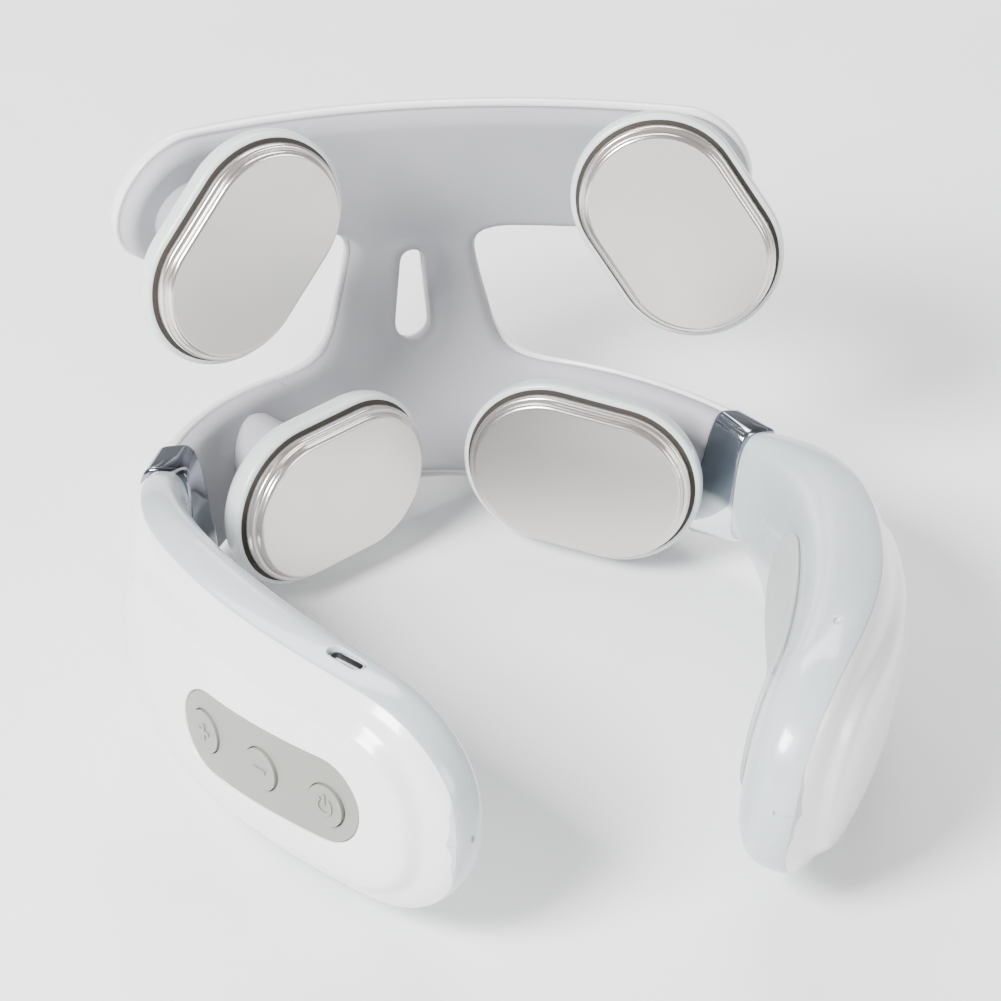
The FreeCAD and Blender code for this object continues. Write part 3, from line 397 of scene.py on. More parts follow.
def shrink_loop(loop, distance):
    """The loop moved inwards, each point square to its neighbours' line."""
    along = unit(np.roll(loop, -1, axis=0) - np.roll(loop, 1, axis=0))
    area = (loop[:, 0] * np.roll(loop[:, 1], -1) - np.roll(loop[:, 0], -1) * loop[:, 1]).sum()
    return loop + np.stack([-along[:, 1], along[:, 0]], 1) * distance * np.sign(area)


def stadium(length, width, spacing=1.0):
    """Closed stadium outline, centred, with its long side along the first axis."""
    r, s = width / 2.0, (length - width) / 2.0
    a = np.linspace(-math.pi / 2, math.pi / 2, 25)
    right = np.stack([s + r * np.cos(a), r * np.sin(a)], 1)
    return even_loop(np.vstack([right, -right]), spacing)


def triangulate(points, edges):
    """Triangles over 2-D points that keep the given edges; returns points and triangles."""
    out, _, faces, _, _, _ = delaunay_2d_cdt([Vector(p) for p in points.tolist()],
                                             [tuple(map(int, e)) for e in edges], [], 0, 1e-6)
    return np.array([list(v) for v in out]), np.array([list(f) for f in faces], int)


def ring_edges(first, count):
    """Edges round a closed loop of neighbouring points."""
    k = np.arange(count)
    return np.stack([first + k, first + (k + 1) % count], 1)


# ------------------------------------------------------------------ band, web and wing
BAND_X, BAND_Y = 69.8, 78.0             # half axes of the band's ellipse in plan
WING_RADIUS = 158.0
BAND_TURN = math.acos(38.2 / BAND_Y)    # turn along the ellipse at which the band ends
# Length along the ellipse against the turn, so that a place along the band gives its turn.
fine_turn = np.linspace(0, 1.3, 800)
fine_run = np.concatenate([[0], np.cumsum(np.hypot(
    np.diff(BAND_X * np.sin(fine_turn)), np.diff(BAND_Y * np.cos(fine_turn))))])
BAND_END = float(np.interp(BAND_TURN, fine_turn, fine_run))
# How far back the middle sheet stands on the plane of symmetry, at each height.
back_line = spline([-27, -13.6, 0, 12, 21, 28, 31.5, 36, 46.6, 62.5],
                   [[74.66], [78.0], [81.4], [84.3], [86.3], [86.9], [86.1], [84.7], [81.5],
                    [76.64]])


def back_sheet(u, v):
    """Middle sheet of the back: u runs along it in plan, v is height. In plan it is the band's
    ellipse below and the wing's circle above, and the web turns one into the other."""
    turn = np.sign(u) * np.interp(np.abs(u), fine_run, fine_turn)
    lean = back_line(v)[..., 0]
    out = unit(np.stack([np.sin(turn) / BAND_X, np.cos(turn) / BAND_Y], -1))
    band = np.stack([BAND_X * np.sin(turn), BAND_Y * np.cos(turn)], -1)
    band = band + out * (lean - BAND_Y)[..., None]
    swing = u / WING_RADIUS
    reach = WING_RADIUS + lean - 81.5
    wing = np.stack([reach * np.sin(swing), 81.5 - WING_RADIUS + reach * np.cos(swing)], -1)
    share = soft_step(v, 3.0, 27.0)[..., None]
    return np.concatenate([band * (1 - share) + wing * share, v[..., None]], -1)


def off_sheet(u, v, offset):
    """Points at a distance behind (+) or in front (-) of the back's middle sheet."""
    step = 0.05
    across = back_sheet(u + step, v) - back_sheet(u - step, v)
    up = back_sheet(u, v + step) - back_sheet(u, v - step)
    normal = unit(np.cross(up, across))
    return back_sheet(u, v) + normal * offset[..., None]


def back_outline(grow):
    """Outline of the back in (u, v): band strip, web with flared ends, wing with round ends."""
    low, high = -26.7 - grow, -0.5 + grow
    web = np.array([(30, -0.5), (26.4, -0.1), (23.6, 0.7), (21.2, 2.1), (19.4, 3.9), (18.2, 6.0),
                    (17.2, 8.4), (16.5, 11.0), (15.7, 14.4), (14.9, 18.0), (14.3, 21.4),
                    (13.9, 24.2), (14.0, 26.2), (14.8, 28.1), (16.4, 29.6), (18.8, 30.5),
                    (22.0, 30.8)], float)
    web[:, 0] += grow
    web[:, 1] += np.where(web[:, 1] > 26, -grow, np.where(web[:, 1] < 4, grow, 0))
    half, r = 75.1 + grow, 15.6 + grow
    a = np.linspace(-math.pi / 2, math.pi / 2, 30)
    end = np.stack([half - r + r * np.cos(a), 46.6 + r * 1.013 * np.sin(a)], 1)
    right = np.vstack([[(BAND_END, low)], [(BAND_END, high)], web, end])
    left = right[::-1] * [-1, 1]
    return even_loop(np.vstack([right, left]), 1.3)


def slot_outline(grow):
    """Tapered slot: a small circle above a larger one, joined by their common tangents."""
    z1, r1, z0, r0 = 21.5, 2.8 + grow, 7.6, 4.0 + grow
    slope = math.asin((r0 - r1) / (z1 - z0))
    a = np.linspace(slope, math.pi - slope, 15)
    b = np.linspace(math.pi - slope, 2 * math.pi + slope, 17)
    return even_loop(np.vstack([np.stack([r1 * np.cos(a), z1 + r1 * np.sin(a)], 1),
                                np.stack([r0 * np.cos(b), z0 + r0 * np.sin(b)], 1)]), 0.9)


SPLIT = 34.0                            # |u| at which the band's ends part from the middle
BEND_FROM, BEND_TO = (44.0, -13.6), (71.0, -13.6)   # (u, v) of two places on the band, handed on as bend ends


def back_flat(outline, hole, edge_rings):
    """Triangles over the back in (u, v): rings along its edges, cuts at the split between its
    parts, and an even fill of staggered rows."""
    points, edges, count = [], [], 0
    for loop, sense in ((outline, 1), (hole, -1)):
        for ring in [0.0] + edge_rings:
            rim = shrink_loop(loop, ring * sense)
            if ring:
                clear = (inside(rim, outline) & (distance_to(rim, outline) > ring * 0.93)
                         & ~inside(rim, hole) & (distance_to(rim, hole) > ring * 0.93))
                rim = rim[clear & (np.abs(np.abs(rim[:, 0]) - SPLIT) > 0.5)]
            else:
                edges.append(ring_edges(count, len(rim)))
            points.append(rim)
            count += len(rim)
    for side in (-1, 1):
        for low, high in ((-28.5, 1.0), (29.0, 64.0)):
            line = np.stack([np.full(60, side * SPLIT), np.linspace(low, high, 60)], 1)
            line = line[inside(line, outline) & (distance_to(line, outline) > 0.25)]
            points.append(line)
            k = np.arange(len(line) - 1) + count
            edges.append(np.stack([k, k + 1], 1))
            count += len(line)
    u, v = np.meshgrid(np.arange(-76, 77, 1.55), np.arange(-27, 64, 1.5), indexing="ij")
    v = v + 0.75 * (np.arange(len(u)) % 2)[:, None]
    fill = np.stack([u.ravel(), v.ravel()], 1)
    fill = fill[inside(fill, outline) & ~inside(fill, hole)]
    fill = fill[(distance_to(fill, outline) > edge_rings[-1] + 0.7)
                & (distance_to(fill, hole) > edge_rings[-1] + 0.6)
                & (np.abs(np.abs(fill[:, 0]) - SPLIT) > 0.8)]
    points.append(fill)
    flat, faces = triangulate(np.vstack(points), np.vstack(edges))
    middle = flat[faces].mean(1)
    return flat, faces[inside(middle, outline) & ~inside(middle, hole)]


def bend_ends(side):
    """Two places on one side of the band, at BEND_FROM and BEND_TO."""
    sign = -1 if side == "left" else 1
    return [back_sheet(np.array([sign * u]), np.array([v]))[0] for u, v in (BEND_FROM, BEND_TO)]


def back_piece(label, finish, outline, hole, front, rear, edge_rings, node):
    """Closed skin between two offset surfaces of the middle sheet, round its outline and slot,
    in three parts that meet behind the lower heads: the middle part goes on the back, and the two
    ends are put on no body."""
    flat, faces = back_flat(outline, hole, edge_rings)
    middle = flat[faces].mean(1)
    to_edge, to_hole = distance_to(flat, outline), distance_to(flat, hole)
    n = len(flat)
    shape = np.vstack([off_sheet(flat[:, 0], flat[:, 1], front(to_edge, to_hole)),
                       off_sheet(flat[:, 0], flat[:, 1], rear(to_edge, to_hole))])

    def skin(chosen):
        """Front and rear triangles with walls along every open edge of the chosen set."""
        loose = {}
        for a, b, c in chosen.tolist():
            for edge in ((a, b), (b, c), (c, a)):
                loose[edge] = 1
        rim = [(a, b) for a, b in loose if (b, a) not in loose]
        walls = [(b, a, a + n, b + n) for a, b in rim]
        return chosen.tolist() + (chosen[:, ::-1] + n).tolist() + walls

    whole = bpy.data.meshes.new(label + "_whole")
    whole.from_pydata(shape.tolist(), [], skin(faces))
    work = bmesh.new()
    work.from_mesh(whole)
    bmesh.ops.recalc_face_normals(work, faces=work.faces)
    if work.calc_volume(signed=True) < 0:
        bmesh.ops.reverse_faces(work, faces=work.faces)
    work.to_mesh(whole)
    work.free()
    normals = np.array([v.vector for v in whole.vertex_normals])
    bpy.data.meshes.remove(whole)
    for side, chosen in (("", np.abs(middle[:, 0]) < SPLIT), ("left", middle[:, 0] < -SPLIT),
                         ("right", middle[:, 0] > SPLIT)):
        zone = middle[:, 1] < 15
        part = faces[(chosen & zone)] if side else faces[chosen | ~zone]
        listed = skin(part)
        used = np.unique(np.concatenate([np.array(f) for f in listed]))
        renumber = np.zeros(2 * n, int)
        renumber[used] = np.arange(len(used))
        make_piece(label + ("_" + side if side else "_middle"), shape[used],
                   [renumber[list(f)].tolist() for f in listed], finish,
                   side + "_arm" if side else "back", replaced=[node] if not side else (),
                   normals=normals[used], bend=bend_ends(side) if side else None)


back_piece("back_liner", "grey_liner", back_outline(0.0), slot_outline(0.0),
           lambda e, h: (-4.0 + rounding(e, 2.6) + rounding(h, 1.6)
                         - 0.45 * np.exp(-((h - 2.6) / 1.3) ** 2)),
           lambda e, h: np.full(len(e), -0.02), [0.12, 0.4, 0.8, 1.3, 1.9, 2.6, 3.5],
           "back_inner_liner")
back_piece("back_cover", "white_shell", back_outline(0.8), slot_outline(-0.02),
           lambda e, h: 0.02 + rounding(e, 0.35),
           lambda e, h: 3.95 - rounding(e, 2.8) - rounding(h, 1.4),
           [0.1, 0.3, 0.6, 1.1, 1.8, 2.8], "back_outer_cover")


STRIP_ROWS = 40
HARNESS_DEPTH = (2.5, 3.0)              # flat cable's faces, behind the middle sheet


def buried_strip(name, node, finish, v_range, offsets, side):
    """Flat strip inside the cover, following the middle sheet, on one side of the back."""
    sign = -1 if side == "left" else 1
    u = np.linspace(0, BAND_END - 0.5, STRIP_ROWS)
    rings = []
    for height, offset in ((v_range[0], offsets[0]), (v_range[1], offsets[0]),
                           (v_range[1], offsets[1]), (v_range[0], offsets[1])):
        rings.append(off_sheet(sign * u, np.full(STRIP_ROWS, height),
                               np.full(STRIP_ROWS, offset)))
    shape = np.stack(rings, 1).reshape(-1, 3)
    count = len(shape)
    faces = grid_faces(STRIP_ROWS, 4, True).tolist()
    faces += [[0, 1, 2, 3], [count - 1, count - 2, count - 3, count - 4]]
    make_piece(name, shape, faces, finish, side + "_arm", bend=bend_ends(side),
               replaced=[node] if side == "left" else ())


for side in ("left", "right"):
    buried_strip("spring_strip_" + side, "spring_strip", "spring_steel", (-19.4, -7.8),
                 (1.4, 2.2), side)
    buried_strip("wire_harness_" + side, "wire_harness", "cable_jacket", (-15.0, -8.2),
                 HARNESS_DEPTH, side)


def harness_upper(name, u_range, v_range, count=24):
    """Flat cable inside the web or the wing: a square grid on each of its two faces."""
    u, v = np.meshgrid(np.linspace(*u_range, count), np.linspace(*v_range, count), indexing="ij")
    near, far = (off_sheet(u, v, np.full(u.shape, depth)).reshape(-1, 3)
                 for depth in HARNESS_DEPTH)
    faces = grid_faces(count, count)
    k = np.arange(count)
    ring = np.concatenate([k, k[1:] * count + count - 1, (count - 1) * count + k[-2::-1],
                           k[-2:0:-1] * count])
    turn = np.roll(ring, -1)
    beyond = count * count
    walls = np.stack([ring, turn, turn + beyond, ring + beyond], 1)
    make_piece(name, np.vstack([near, far]),
               np.vstack([faces, faces[:, ::-1] + beyond, walls]).tolist(), "cable_jacket", "back")


harness_upper("wire_harness_riser", (7.2, 11.2), (-10.0, 40.0))
harness_upper("wire_harness_wing", (-54.0, 54.0), (39.5, 46.0))

# ------------------------------------------------------------------ massage heads
# For each right head: the middle of its plate's face, the way it faces, and its long axis.
HEADS = {
    "upper": ((47.7, 38.2, 45.4), (-0.288, -0.956, 0.05), (0.558, -0.212, -0.8)),
    "lower": ((26.9, 33.1, -11.6), (-0.48, -0.877, 0.0), (0.87, -0.476, -0.12)),
}


def round_corner(centre, radius, start, end, count=7):
    """Points of an arc in the (radius, depth) plane of a head's profile."""
    a = np.radians(np.linspace(start, end, count))
    return [(centre[0] + radius * math.cos(t), centre[1] + radius * math.sin(t)) for t in a]


# Profiles of (radius, depth) below the plate's face, from the middle outwards and round.
PLATE = ([(5.0, 0.0), (12.0, 0.0), (14.6, -0.01)] + round_corner((15.4, -0.9), 0.9, 96, 6, 9)
         + [(16.3, -1.35)] + round_corner((16.62, -1.4), 0.3, 180, 270, 4)
         + round_corner((16.9, -2.3), 0.6, 90, 0, 6) + [(17.5, -3.2)]
         + round_corner((17.1, -4.1), 0.4, 0, -90, 5) + [(16.0, -4.5), (15.9, -1.6), (5.0, -1.6)])
SEAL = [(15.9, -4.45), (18.3, -4.4), (18.3, -5.3), (15.9, -5.34), (13.6, -5.3), (13.5, -4.45)]
BASE = ([(15.2, -6.4), (15.2, -5.45), (17.9, -5.4), (18.0, -5.2), (18.0, -4.7)]
        + round_corner((18.3, -4.7), 0.3, 180, 90, 5) + round_corner((18.45, -5.4), 1.0, 90, 0, 8)
        + [(19.5, -6.4), (19.4, -7.6), (19.0, -8.9), (18.2, -10.1), (16.9, -11.1), (15.2, -11.8),
           (13.0, -12.2), (10.0, -12.3), (5.0, -12.3)])


HALF_STRAIGHT, ARC_POINTS = 8.0, 33     # of a head's stadium outline


def stadium_turned(profile, closed):
    """A profile of (radius, depth) carried round a stadium: two half circles of points, each
    moved out by half of the straight side."""
    count = 2 * ARC_POINTS
    turn = np.radians(np.concatenate([np.linspace(-90, 90, ARC_POINTS),
                                      np.linspace(90, 270, ARC_POINTS)]))
    shift = np.repeat([HALF_STRAIGHT, -HALF_STRAIGHT], ARC_POINTS)
    profile = np.array(profile)
    x = shift[None] + profile[:, :1] * np.cos(turn)[None]
    y = profile[:, :1] * np.sin(turn)[None]
    z = np.repeat(profile[:, 1:], count, 1)
    shape = np.stack([x, y, z], -1).reshape(-1, 3)
    rows = len(profile)
    faces = grid_faces(rows, count, True).tolist()
    last = (rows - 1) * count
    if closed:
        k = np.arange(count)
        turned = (k + 1) % count
        faces += np.stack([last + k, last + turned, turned, k], 1).tolist()
    else:
        faces += [list(range(count)), list(range(last + count - 1, last - 1, -1))]
    return shape, faces


def head_axes(level, side):
    """Origin and three directions of a head's own frame."""
    flip = np.array([1 if side == "right" else -1, 1, 1])
    origin, normal, along = (np.array(part) * flip for part in HEADS[level])
    normal = unit(normal)
    along = unit(along - normal * (along @ normal))
    return origin, np.stack([along, np.cross(normal, along), normal])


for level in HEADS:
    for side in ("left", "right"):
        origin, axes = head_axes(level, side)
        name = "%s_%s_head" % (level, side)
        for part, profile, closed, finish, node in (
                ("plate", PLATE, False, "polished_steel", "_plate"),
                ("seal", SEAL, True, "dark_seal", "_gasket"),
                ("base", BASE, False, "head_base", "_base")):
            shape, faces = stadium_turned(profile, closed)
            make_piece("%s_%s_shaped" % (name, part), shape @ axes + origin, faces, finish, name,
                       replaced=[name + node], sharp=30.0)

# ------------------------------------------------------------------ arms
# Right arm, root to tip: x, y and z of the middle line, half height and half thickness.
ARM_KEYS = np.array([(67.8, 29.8, -14.0, 13.2, 5.6), (71.6, 18.5, -15.2, 17.2, 7.6),
                     (73.4, 2.0, -17.5, 22.0, 10.2), (70.0, -22.0, -19.5, 25.0, 12.3),
                     (62.0, -47.0, -20.5, 26.0, 13.2), (51.0, -69.0, -21.0, 25.6, 12.5),
                     (40.5, -85.0, -22.3, 24.6, 11.4), (31.5, -97.0, -23.6, 23.4, 10.6)])
arm_run = np.concatenate([[0], np.cumsum(np.linalg.norm(np.diff(ARM_KEYS[:, :3], axis=0),
                                                        axis=1))])
ARM_LENGTH = float(arm_run[-1])
arm_at = spline(arm_run, ARM_KEYS)
TIP = 27.0                              # length over which the arm's end closes
PARTING = 0.35                          # cover and shell meet at this share of half thickness
POWER = 2.0 / 2.7                       # of cosine and sine in the section's superellipse


def arm_station(t):
    """Centre, forward, outward and upward directions, half height and half thickness."""
    t = np.asarray(t, float)
    held = np.clip(t, 0.0, ARM_LENGTH)
    key = arm_at(held)
    forward = arm_at(np.minimum(held + 0.05, ARM_LENGTH)) - arm_at(np.maximum(held - 0.05, 0))
    forward = unit(forward[..., :3] * [1, 1, 0])
    centre = key[..., :3] + forward * (t - held)[..., None]
    flat_out = np.stack([-forward[..., 1], forward[..., 0], np.zeros(t.shape)], -1)
    lean = np.radians(-6.0) * np.minimum(1.0, 0.4 + held / 60.0)
    rise = np.array([0, 0, 1.0])
    out = flat_out * np.cos(lean)[..., None] + rise * np.sin(lean)[..., None]
    up = rise * np.cos(lean)[..., None] - flat_out * np.sin(lean)[..., None]
    return centre, forward, out, up, key[..., 3], key[..., 4]


def tip_factors(t):
    """How the section closes over the arm's tip: superellipse quarters in height and depth."""
    u = np.clip((t - (ARM_LENGTH - TIP)) / TIP, 0.0, 1.0)
    return (1 - u ** 2.3) ** (1 / 2.3), (1 - u ** 2.7) ** (1 / 2.7)


def arm_skin(t, angle, inset):
    """Point of the arm's rounded-rectangle section, set in by a distance."""
    centre, _, out, up, high, thick = arm_station(t)
    f_high, f_thick = tip_factors(t)
    c, s = np.cos(angle), np.sin(angle)
    a = np.sign(c) * np.abs(c) ** POWER * (thick - inset) * f_thick
    b = np.sign(s) * np.abs(s) ** POWER * (high - inset) * f_high
    return centre + out * a[..., None] + up * b[..., None]


def parting_angle(t):
    """Section angle at which cover and shell meet, or 0 where the tip is all shell."""
    _, f_thick = tip_factors(t)
    share = np.clip(PARTING / np.maximum(f_thick, 1e-6), 0.0, 1.0)
    return np.arccos(share ** (1 / POWER))


def plateau(t, b):
    """1 on the cover's raised middle field and 0 on its border: distance from a rounded box."""
    high = arm_at(np.clip(t, 0, ARM_LENGTH))[..., 3]
    r, mid, half = 15.0, (34.0 + ARM_LENGTH - 8.5) / 2, (ARM_LENGTH - 8.5 - 34.0) / 2
    x = np.maximum(np.abs(t - mid) - (half - r), 0)
    y = np.maximum(np.abs(b) - (high - 6.3 - r), 0)
    away = np.sqrt(x * x + y * y) - r
    return 1 - soft_step(away, -1.7, 1.9)


def cover_point(t, angle, inset):
    """Outer cover: the border lies lower than the middle field, fading out at the parting."""
    shape = arm_skin(t, angle, inset)
    centre, _, out, up, high, thick = arm_station(t)
    b = ((shape - centre) * up).sum(-1)
    a = ((shape - centre) * out).sum(-1)
    room = np.clip((a / thick - PARTING) / (1 - PARTING), 0, 1) ** 0.6
    drop = 2.3 * (1 - plateau(t, b)) * room * soft_step(t, 0.0, 24.0)
    return shape - out * drop[..., None]


def angle_of(share):
    """Section angle for a height or depth given as a share of the half size."""
    return np.arcsin(np.sign(share) * np.abs(np.clip(share, -1, 1)) ** (1 / POWER))


def panel_to_skin(flat, station, second_from):
    """Places along the arm and across it under points of a plane square to one station: each
    round moves them by what the skin's point still misses in that plane."""
    centre, forward, out, up, _, _ = arm_station(np.array(station))
    t, q = flat[:, 0] + station, flat[:, 1].copy()
    across = out if second_from == "depth" else up
    for _ in range(14):
        shape = skin_at(t, q, second_from, 0.0 * t)
        t = t + flat[:, 0] - (shape - centre) @ forward
        q = q + flat[:, 1] - (shape - centre) @ across
    return t, q


def skin_at(t, q, second_from, inset):
    """Skin point at a place along the arm and a height, on the outer cover or on the inside,
    or a depth, on the top edge."""
    key = arm_at(np.clip(t, 0, ARM_LENGTH))
    f_high, f_thick = tip_factors(t)
    if second_from == "height":
        return cover_point(t, angle_of(q / ((key[..., 3]) * f_high)), inset)
    if second_from == "inside":
        return arm_skin(t, math.pi - angle_of(q / ((key[..., 3]) * f_high)), inset)
    return arm_skin(t, math.pi / 2 - angle_of(q / ((key[..., 4]) * f_thick)), inset)


# Where each half's window lies: along the arm, across it, and the station its hole is square to.
WINDOW = {"cover": {"along": (60.0, 124.0), "across": (13.5, -13.5), "station": 93.0},
          "shell": {"along": (96.0, 112.0), "across": (1.6, -6.4), "station": 104.0}}
# Length, width and depth of each hole. The right arm has no hole, only what is left of the
# smallest one: a dimple as deep as the rim's rounding.
PANEL_RECESS, PORT_SLOT, DIMPLE = ((53.7, 19.7), 1.2), ((9.5, 3.7), 1.4), ((2.0, 1.0), 0.0)
WALL, ROLL = 2.2, 0.32                  # thickness of an arm half, radius of its parting edge
EDGE = np.array([0.0, 0.0035, 0.008, 0.0145, 0.024, 0.036, 0.06, 0.1])  # angles of edge columns
RUN = 13.7                              # millimetres round the section to a radian, at the edge
COVER_END = 0.9779                      # share of the tip's length at which the cover runs out
FULL = math.acos(PARTING ** (1 / POWER))


def columns_across(span, count):
    """Columns across a face from -1 to 1: close at both edges and even between."""
    even = np.linspace(EDGE[-1] / span, 2 - EDGE[-1] / span, count)[1:-1]
    return np.concatenate([EDGE / span, even, 2 - EDGE[::-1] / span]) - 1


def rows_along(t0, t1, end, counts):
    """Places along the arm: even up to the window and through it, then closing in on the tip
    as a quarter of a sine."""
    return np.concatenate([np.linspace(0, t0, counts[0])[:-1],
                           np.linspace(t0, t1, counts[1])[:-1],
                           t1 + (end - t1) * np.sin(np.linspace(0, math.pi / 2, counts[2]))])


def cover_face(t0, t1):
    """Rows, section angles and insets of the cover's seen face, its angles in proportion to
    the parting angle."""
    end = ARM_LENGTH - TIP + TIP * COVER_END
    along = rows_along(t0, t1, end, (46, 50, 26))
    share = columns_across(FULL, 74)
    part = parting_angle(along)[:, None]
    edge = FULL * RUN * (1 - np.abs(share))[None] * (part / FULL)
    fade = 1 - soft_step(along, end - 4.0, end - 0.6)
    return along, part * share[None], rounding(edge, ROLL) * fade[:, None]


def shell_face(t0, t1):
    """The same for the inner shell, which goes round the other way. Near the tip it closes a
    little early and lies 0.05 mm lower, so that no gap opens at the cover's end."""
    along = rows_along(t0, t1, ARM_LENGTH, (60, 24, 50))
    span = math.pi - FULL
    share = columns_across(span, 120)
    tuck = soft_step(along, ARM_LENGTH - 3.0, ARM_LENGTH - 1.0)
    part = (math.pi - parting_angle(along + 0.3 * tuck))[:, None]
    edge = span * RUN * (1 - np.abs(share))[None]
    fade = 1 - soft_step(along, ARM_LENGTH - 4.6, ARM_LENGTH - 1.2)
    inset = rounding(edge, ROLL) * fade[:, None] + 0.05 * tuck[:, None] * np.exp(-edge / 0.6)
    return along, math.pi - part * share[None], inset


def find_window(cover, along, outer, window):
    """Second coordinate of the grid, height on the cover and depth on the shell, and the rows
    and columns nearest to the window's edges."""
    centre, _, out, up, _, _ = arm_station(along)
    second = ((outer - centre[:, None]) * (up if cover else out)[:, None]).sum(-1)
    high = ((outer - centre[:, None]) * up[:, None]).sum(-1)
    i0, i1 = (np.searchsorted(along, t - 0.01) for t in window["along"])
    row = second[(i0 + i1) // 2].copy()
    if not cover:
        row[high[(i0 + i1) // 2] < 0] = 99      # leaves the shell's underside out
    j0, j1 = sorted(int(np.argmin(np.abs(row - edge))) for edge in window["across"])
    return second, (i0, i1, j0, j1)


def hole_patch(cover, t, second, outer, block, hole, station):
    """Triangles between the border of a block of the grid and a stadium hole with a rounded
    rim: points, triangles and the numbers of the hole's own loop."""
    i0, i1, j0, j1 = block
    rim = np.array([(i0, j) for j in range(j0, j1)] + [(i, j1) for i in range(i0, i1)]
                   + [(i1, j) for j in range(j1, j0, -1)] + [(i, j0) for i in range(i1, i0, -1)])
    border = np.stack([t[rim[:, 0], rim[:, 1]], second[rim[:, 0], rim[:, 1]]], 1)
    mode, spacing, shift = ("height", 0.8, 0.0) if cover else ("depth", 0.4, -1.6)
    loops, insets = [], []
    for ring in (0.0, 0.12, 0.28, 0.5, 0.95):
        flat = stadium(hole[0] + 2 * ring, hole[1] + 2 * ring, spacing) + [0, shift]
        loops.append(np.stack(panel_to_skin(flat, station, mode), 1))
        insets.append(np.full(len(flat), float(rounding(np.array(ring), 0.4))))
    left = np.stack([grid[i0 + 1:i1, j0 + 1:j1].ravel() for grid in (t, second)], 1)
    left = left[~inside(left, loops[-1]) & (distance_to(left, loops[-1]) > 0.5)]
    first, count = len(border), len(loops[0])
    flat, patch = triangulate(np.vstack([border] + loops + [left]),
                              np.vstack([ring_edges(0, first), ring_edges(first, count)]))
    middle = flat[patch].mean(1)
    patch = patch[inside(middle, border) & ~inside(middle, loops[0])]
    inset = np.concatenate([np.zeros(first)] + insets + [np.zeros(len(left))])
    shape = skin_at(flat[:, 0], flat[:, 1], mode, inset[:len(flat)])
    shape[:first] = outer[rim[:, 0], rim[:, 1]]
    return shape, patch, np.arange(first, first + count)


def half_arm(kind, hole, depth):
    """Closed skin of one arm half, with a hole through a window of its grid.

    Rows run along the arm and columns across: the seen face with rounded parting edges, and
    an inner face one wall in. Inside the window the grid gives way to triangles round the
    hole, whose wall goes straight in to a flat floor, the last face of the list."""
    cover, window = kind == "cover", WINDOW[kind]
    along, angle, inset = (cover_face if cover else shell_face)(*window["along"])
    t = np.repeat(along[:, None], angle.shape[1], 1)
    outer = (cover_point if cover else arm_skin)(t, angle, inset)
    inner_at = angle[:, ::-1][:, ::6]
    held = along - WALL * soft_step(along, ARM_LENGTH - 9.0, ARM_LENGTH) * (not cover)
    inner = arm_skin(np.repeat(held[:, None], inner_at.shape[1], 1), inner_at,
                     np.full(inner_at.shape, WALL))
    rows, seen = outer.shape[:2]
    grid = np.concatenate([outer, inner], 1)
    columns = grid.shape[1]
    faces = grid_faces(rows, columns, True)
    second, block = find_window(cover, along, outer, window)
    i, j = faces[:, 0] // columns, faces[:, 0] % columns
    faces = faces[~((i >= block[0]) & (i < block[1]) & (j >= block[2]) & (j < block[3]))]
    patch_shape, patch, ring = hole_patch(cover, t, second, outer, block, hole, window["station"])
    _, _, out, up, _, _ = arm_station(np.array(window["station"]))
    wall = patch_shape[ring] - (out if cover else up) * depth
    base, last = rows * columns, (rows - 1) * columns
    wall_first = base + len(patch_shape)
    k = np.arange(len(ring))
    turn = np.roll(k, -1)
    walls = np.stack([base + ring[k], base + ring[turn], wall_first + turn, wall_first + k], 1)
    ends = [list(range(columns))]
    if not cover:
        ends.append([last] + list(range(last + seen, last + columns)))
    floor = [list(range(wall_first, wall_first + len(ring)))]
    shape = np.vstack([grid.reshape(-1, 3), patch_shape, wall])
    return shape, faces.tolist() + (patch + base).tolist() + ends + walls.tolist() + floor



MIRROR = np.array([-1.0, 1.0, 1.0])
for side in ("left", "right"):
    left = side == "left"
    flip = MIRROR if left else 1.0
    arm = side + "_arm"
    shape, faces = half_arm("cover", *(PANEL_RECESS if left else DIMPLE))
    make_piece(arm + "_cover_shaped", shape * flip, faces, "white_shell", arm,
               replaced=[arm + "_outer_cover"], sharp=42.0)
    shape, faces = half_arm("shell", *(PORT_SLOT if left else DIMPLE))
    shell = make_piece(arm + "_shell_shaped", shape * flip, faces, "cool_shell", arm,
                       replaced=[arm + "_inner_shell"], sharp=42.0)
    if left:                            # the slot's floor is dark
        shell.data.materials.append(FINISH["dark_seal"])
        shell.data.polygons[len(shell.data.polygons) - 1].material_index = 1


def comfort_pad():
    """Pad on the arm's inner face: a stadium field standing 1.25 mm proud with rounded edges,
    on a foot that is 0.45 mm narrower all round, so that a dark line follows its rim."""
    size, station = (80.0, 33.0), 79.0
    rings = [0.0, 0.1, 0.25, 0.45, 0.75, 1.2, 2.0]
    loops = [stadium(size[0] - 2 * r, size[1] - 2 * r, 1.0) for r in rings]
    x, y = np.meshgrid(np.arange(-40, 41, 1.5), np.arange(-16, 17, 1.5), indexing="ij")
    fill = np.stack([x.ravel(), y.ravel()], 1)
    fill = fill[inside(fill, loops[-1]) & (distance_to(fill, loops[-1]) > 0.6)]
    flat, faces = triangulate(np.vstack(loops + [fill]), ring_edges(0, len(loops[0])))
    edge = distance_to(flat, loops[0])
    t, q = panel_to_skin(flat, station, "inside")
    top = skin_at(t, q, "inside", -1.25 + rounding(edge, 0.8))
    under = panel_to_skin(np.vstack([shrink_loop(loops[0], 0.45), flat[len(loops[0]):]]), station,
                          "inside")
    low = skin_at(*under, "inside", np.full(len(flat), 0.5))
    n, m = len(flat), len(loops[0])
    k = np.arange(m)
    walls = np.stack([k, (k + 1) % m, (k + 1) % m + n, k + n], 1)
    return np.vstack([top, low]), np.vstack([faces, faces[:, ::-1] + n]).tolist() + walls.tolist()


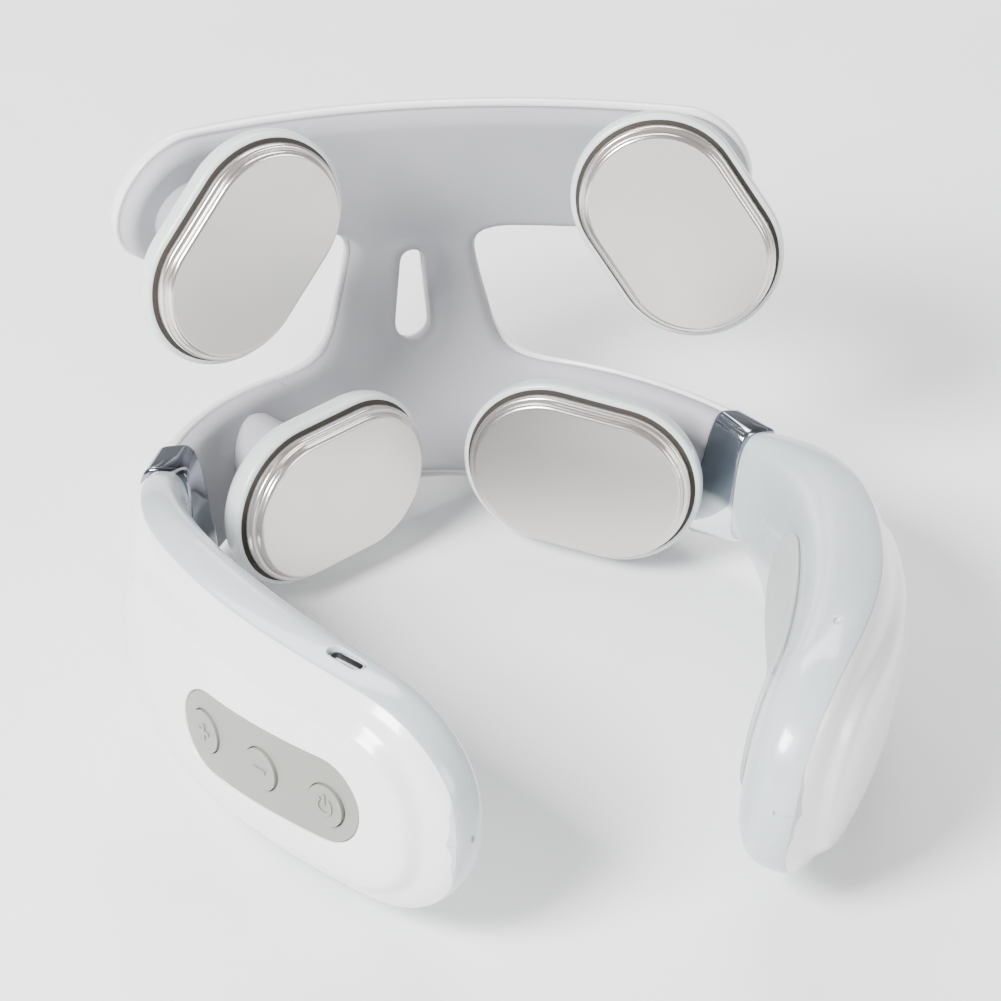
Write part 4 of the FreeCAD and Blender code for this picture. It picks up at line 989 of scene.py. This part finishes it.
shape, faces = comfort_pad()
for side in ("left", "right"):
    make_piece(side + "_comfort_pad_shaped", shape * (MIRROR if side == "left" else 1.0), faces,
               "comfort_pad", side + "_arm", replaced=[side + "_arm_comfort_pad"])


# ------------------------------------------------------------------ collars
def collar_ring(count=96):
    """Bright collar: a rounded-rectangle ring from the band's end to the arm's root, with
    rolled edges. Centre, directions and half sizes go straight from one end to the other."""
    c0 = np.array([BAND_X * math.sin(BAND_TURN), BAND_Y * math.cos(BAND_TURN), -13.6])
    out = unit(np.array([math.sin(BAND_TURN) / BAND_X, math.cos(BAND_TURN) / BAND_Y, 0]))
    lean = math.radians(14.0)
    o0 = out * math.cos(lean) - np.array([0, 0, math.sin(lean)])
    u0 = np.array([0, 0, math.cos(lean)]) + out * math.sin(lean)
    c1, _, o1, u1, high, thick = arm_station(np.array(0.0))
    share = np.concatenate([np.linspace(0, 0.5, 10) ** 1.6 * 0.5 / 0.5 ** 1.6,
                            1 - (np.linspace(0.5, 0, 10) ** 1.6 * 0.5 / 0.5 ** 1.6)[1:]])
    length = np.linalg.norm(c1 - c0)
    edge = np.minimum(share, 1 - share) * length
    inset = np.concatenate([[1.3], rounding(edge, 0.6), [1.3]])
    share = np.concatenate([share[:1], share, share[-1:]])
    turn = np.linspace(0, 2 * math.pi, count, endpoint=False)
    cs, sn = np.cos(turn), np.sin(turn)
    a = (np.sign(cs) * np.abs(cs) ** (2 / 4.5))[None]
    b = (np.sign(sn) * np.abs(sn) ** (2 / 4.5))[None]
    s = share[:, None]
    half_up = (13.5 + 1.3) * (1 - s) + (high + 0.5) * s - inset[:, None]
    half_out = 5.2 * (1 - s) + (thick + 0.2) * s - inset[:, None]
    s = s[..., None]
    centre = c0 + (c1 - c0) * s
    out, up = unit(o0 * (1 - s) + o1 * s), unit(u0 * (1 - s) + u1 * s)
    grid = centre + out * (a * half_out)[..., None] + up * (b * half_up)[..., None]
    faces = grid_faces(len(share), count, True).tolist()
    rows = len(share)
    k = np.arange(count)
    bore = np.stack([(rows - 1) * count + k, (rows - 1) * count + (k + 1) % count,
                     (k + 1) % count, k], 1)
    return grid.reshape(-1, 3), faces + bore.tolist()


shape, faces = collar_ring()
for side in ("left", "right"):
    make_piece(side + "_collar_shaped", shape * (MIRROR if side == "left" else 1.0), faces,
               "chrome_trim", side + "_arm", replaced=[side + "_collar"], sharp=50.0)

# ------------------------------------------------------------------ studio
make_camera()
area_light("key", (-0.85, -0.45, 0.8), (0, 0, 0.05), (0.4, 0.4), 44.0)
area_light("fill", (0.9, -0.7, 0.6), (0, 0, 0.05), (0.5, 0.5), 7.0)
area_light("back", (0.1, 0.9, 0.9), (0, 0, 0.05), (0.9, 0.5), 15.0)
world = bpy.data.worlds.new("studio")
world.use_nodes = True
world.node_tree.nodes["Background"].inputs[0].default_value = (0.95, 0.96, 0.97, 1)
world.node_tree.nodes["Background"].inputs[1].default_value = 0.6
bpy.context.scene.world = world

mesh = bpy.data.meshes.new("floor")
mesh.from_pydata([(-3, -3, 0), (3, -3, 0), (3, 3, 0), (-3, 3, 0)], [], [(0, 1, 2, 3)])
floor = bpy.data.objects.new("floor", mesh)
bpy.context.scene.collection.objects.link(floor)
floor.data.materials.append(moulded("floor_paint", rgb(244, 244, 244), rgb(242, 242, 242), 0.8, 60,
                                    0.0))
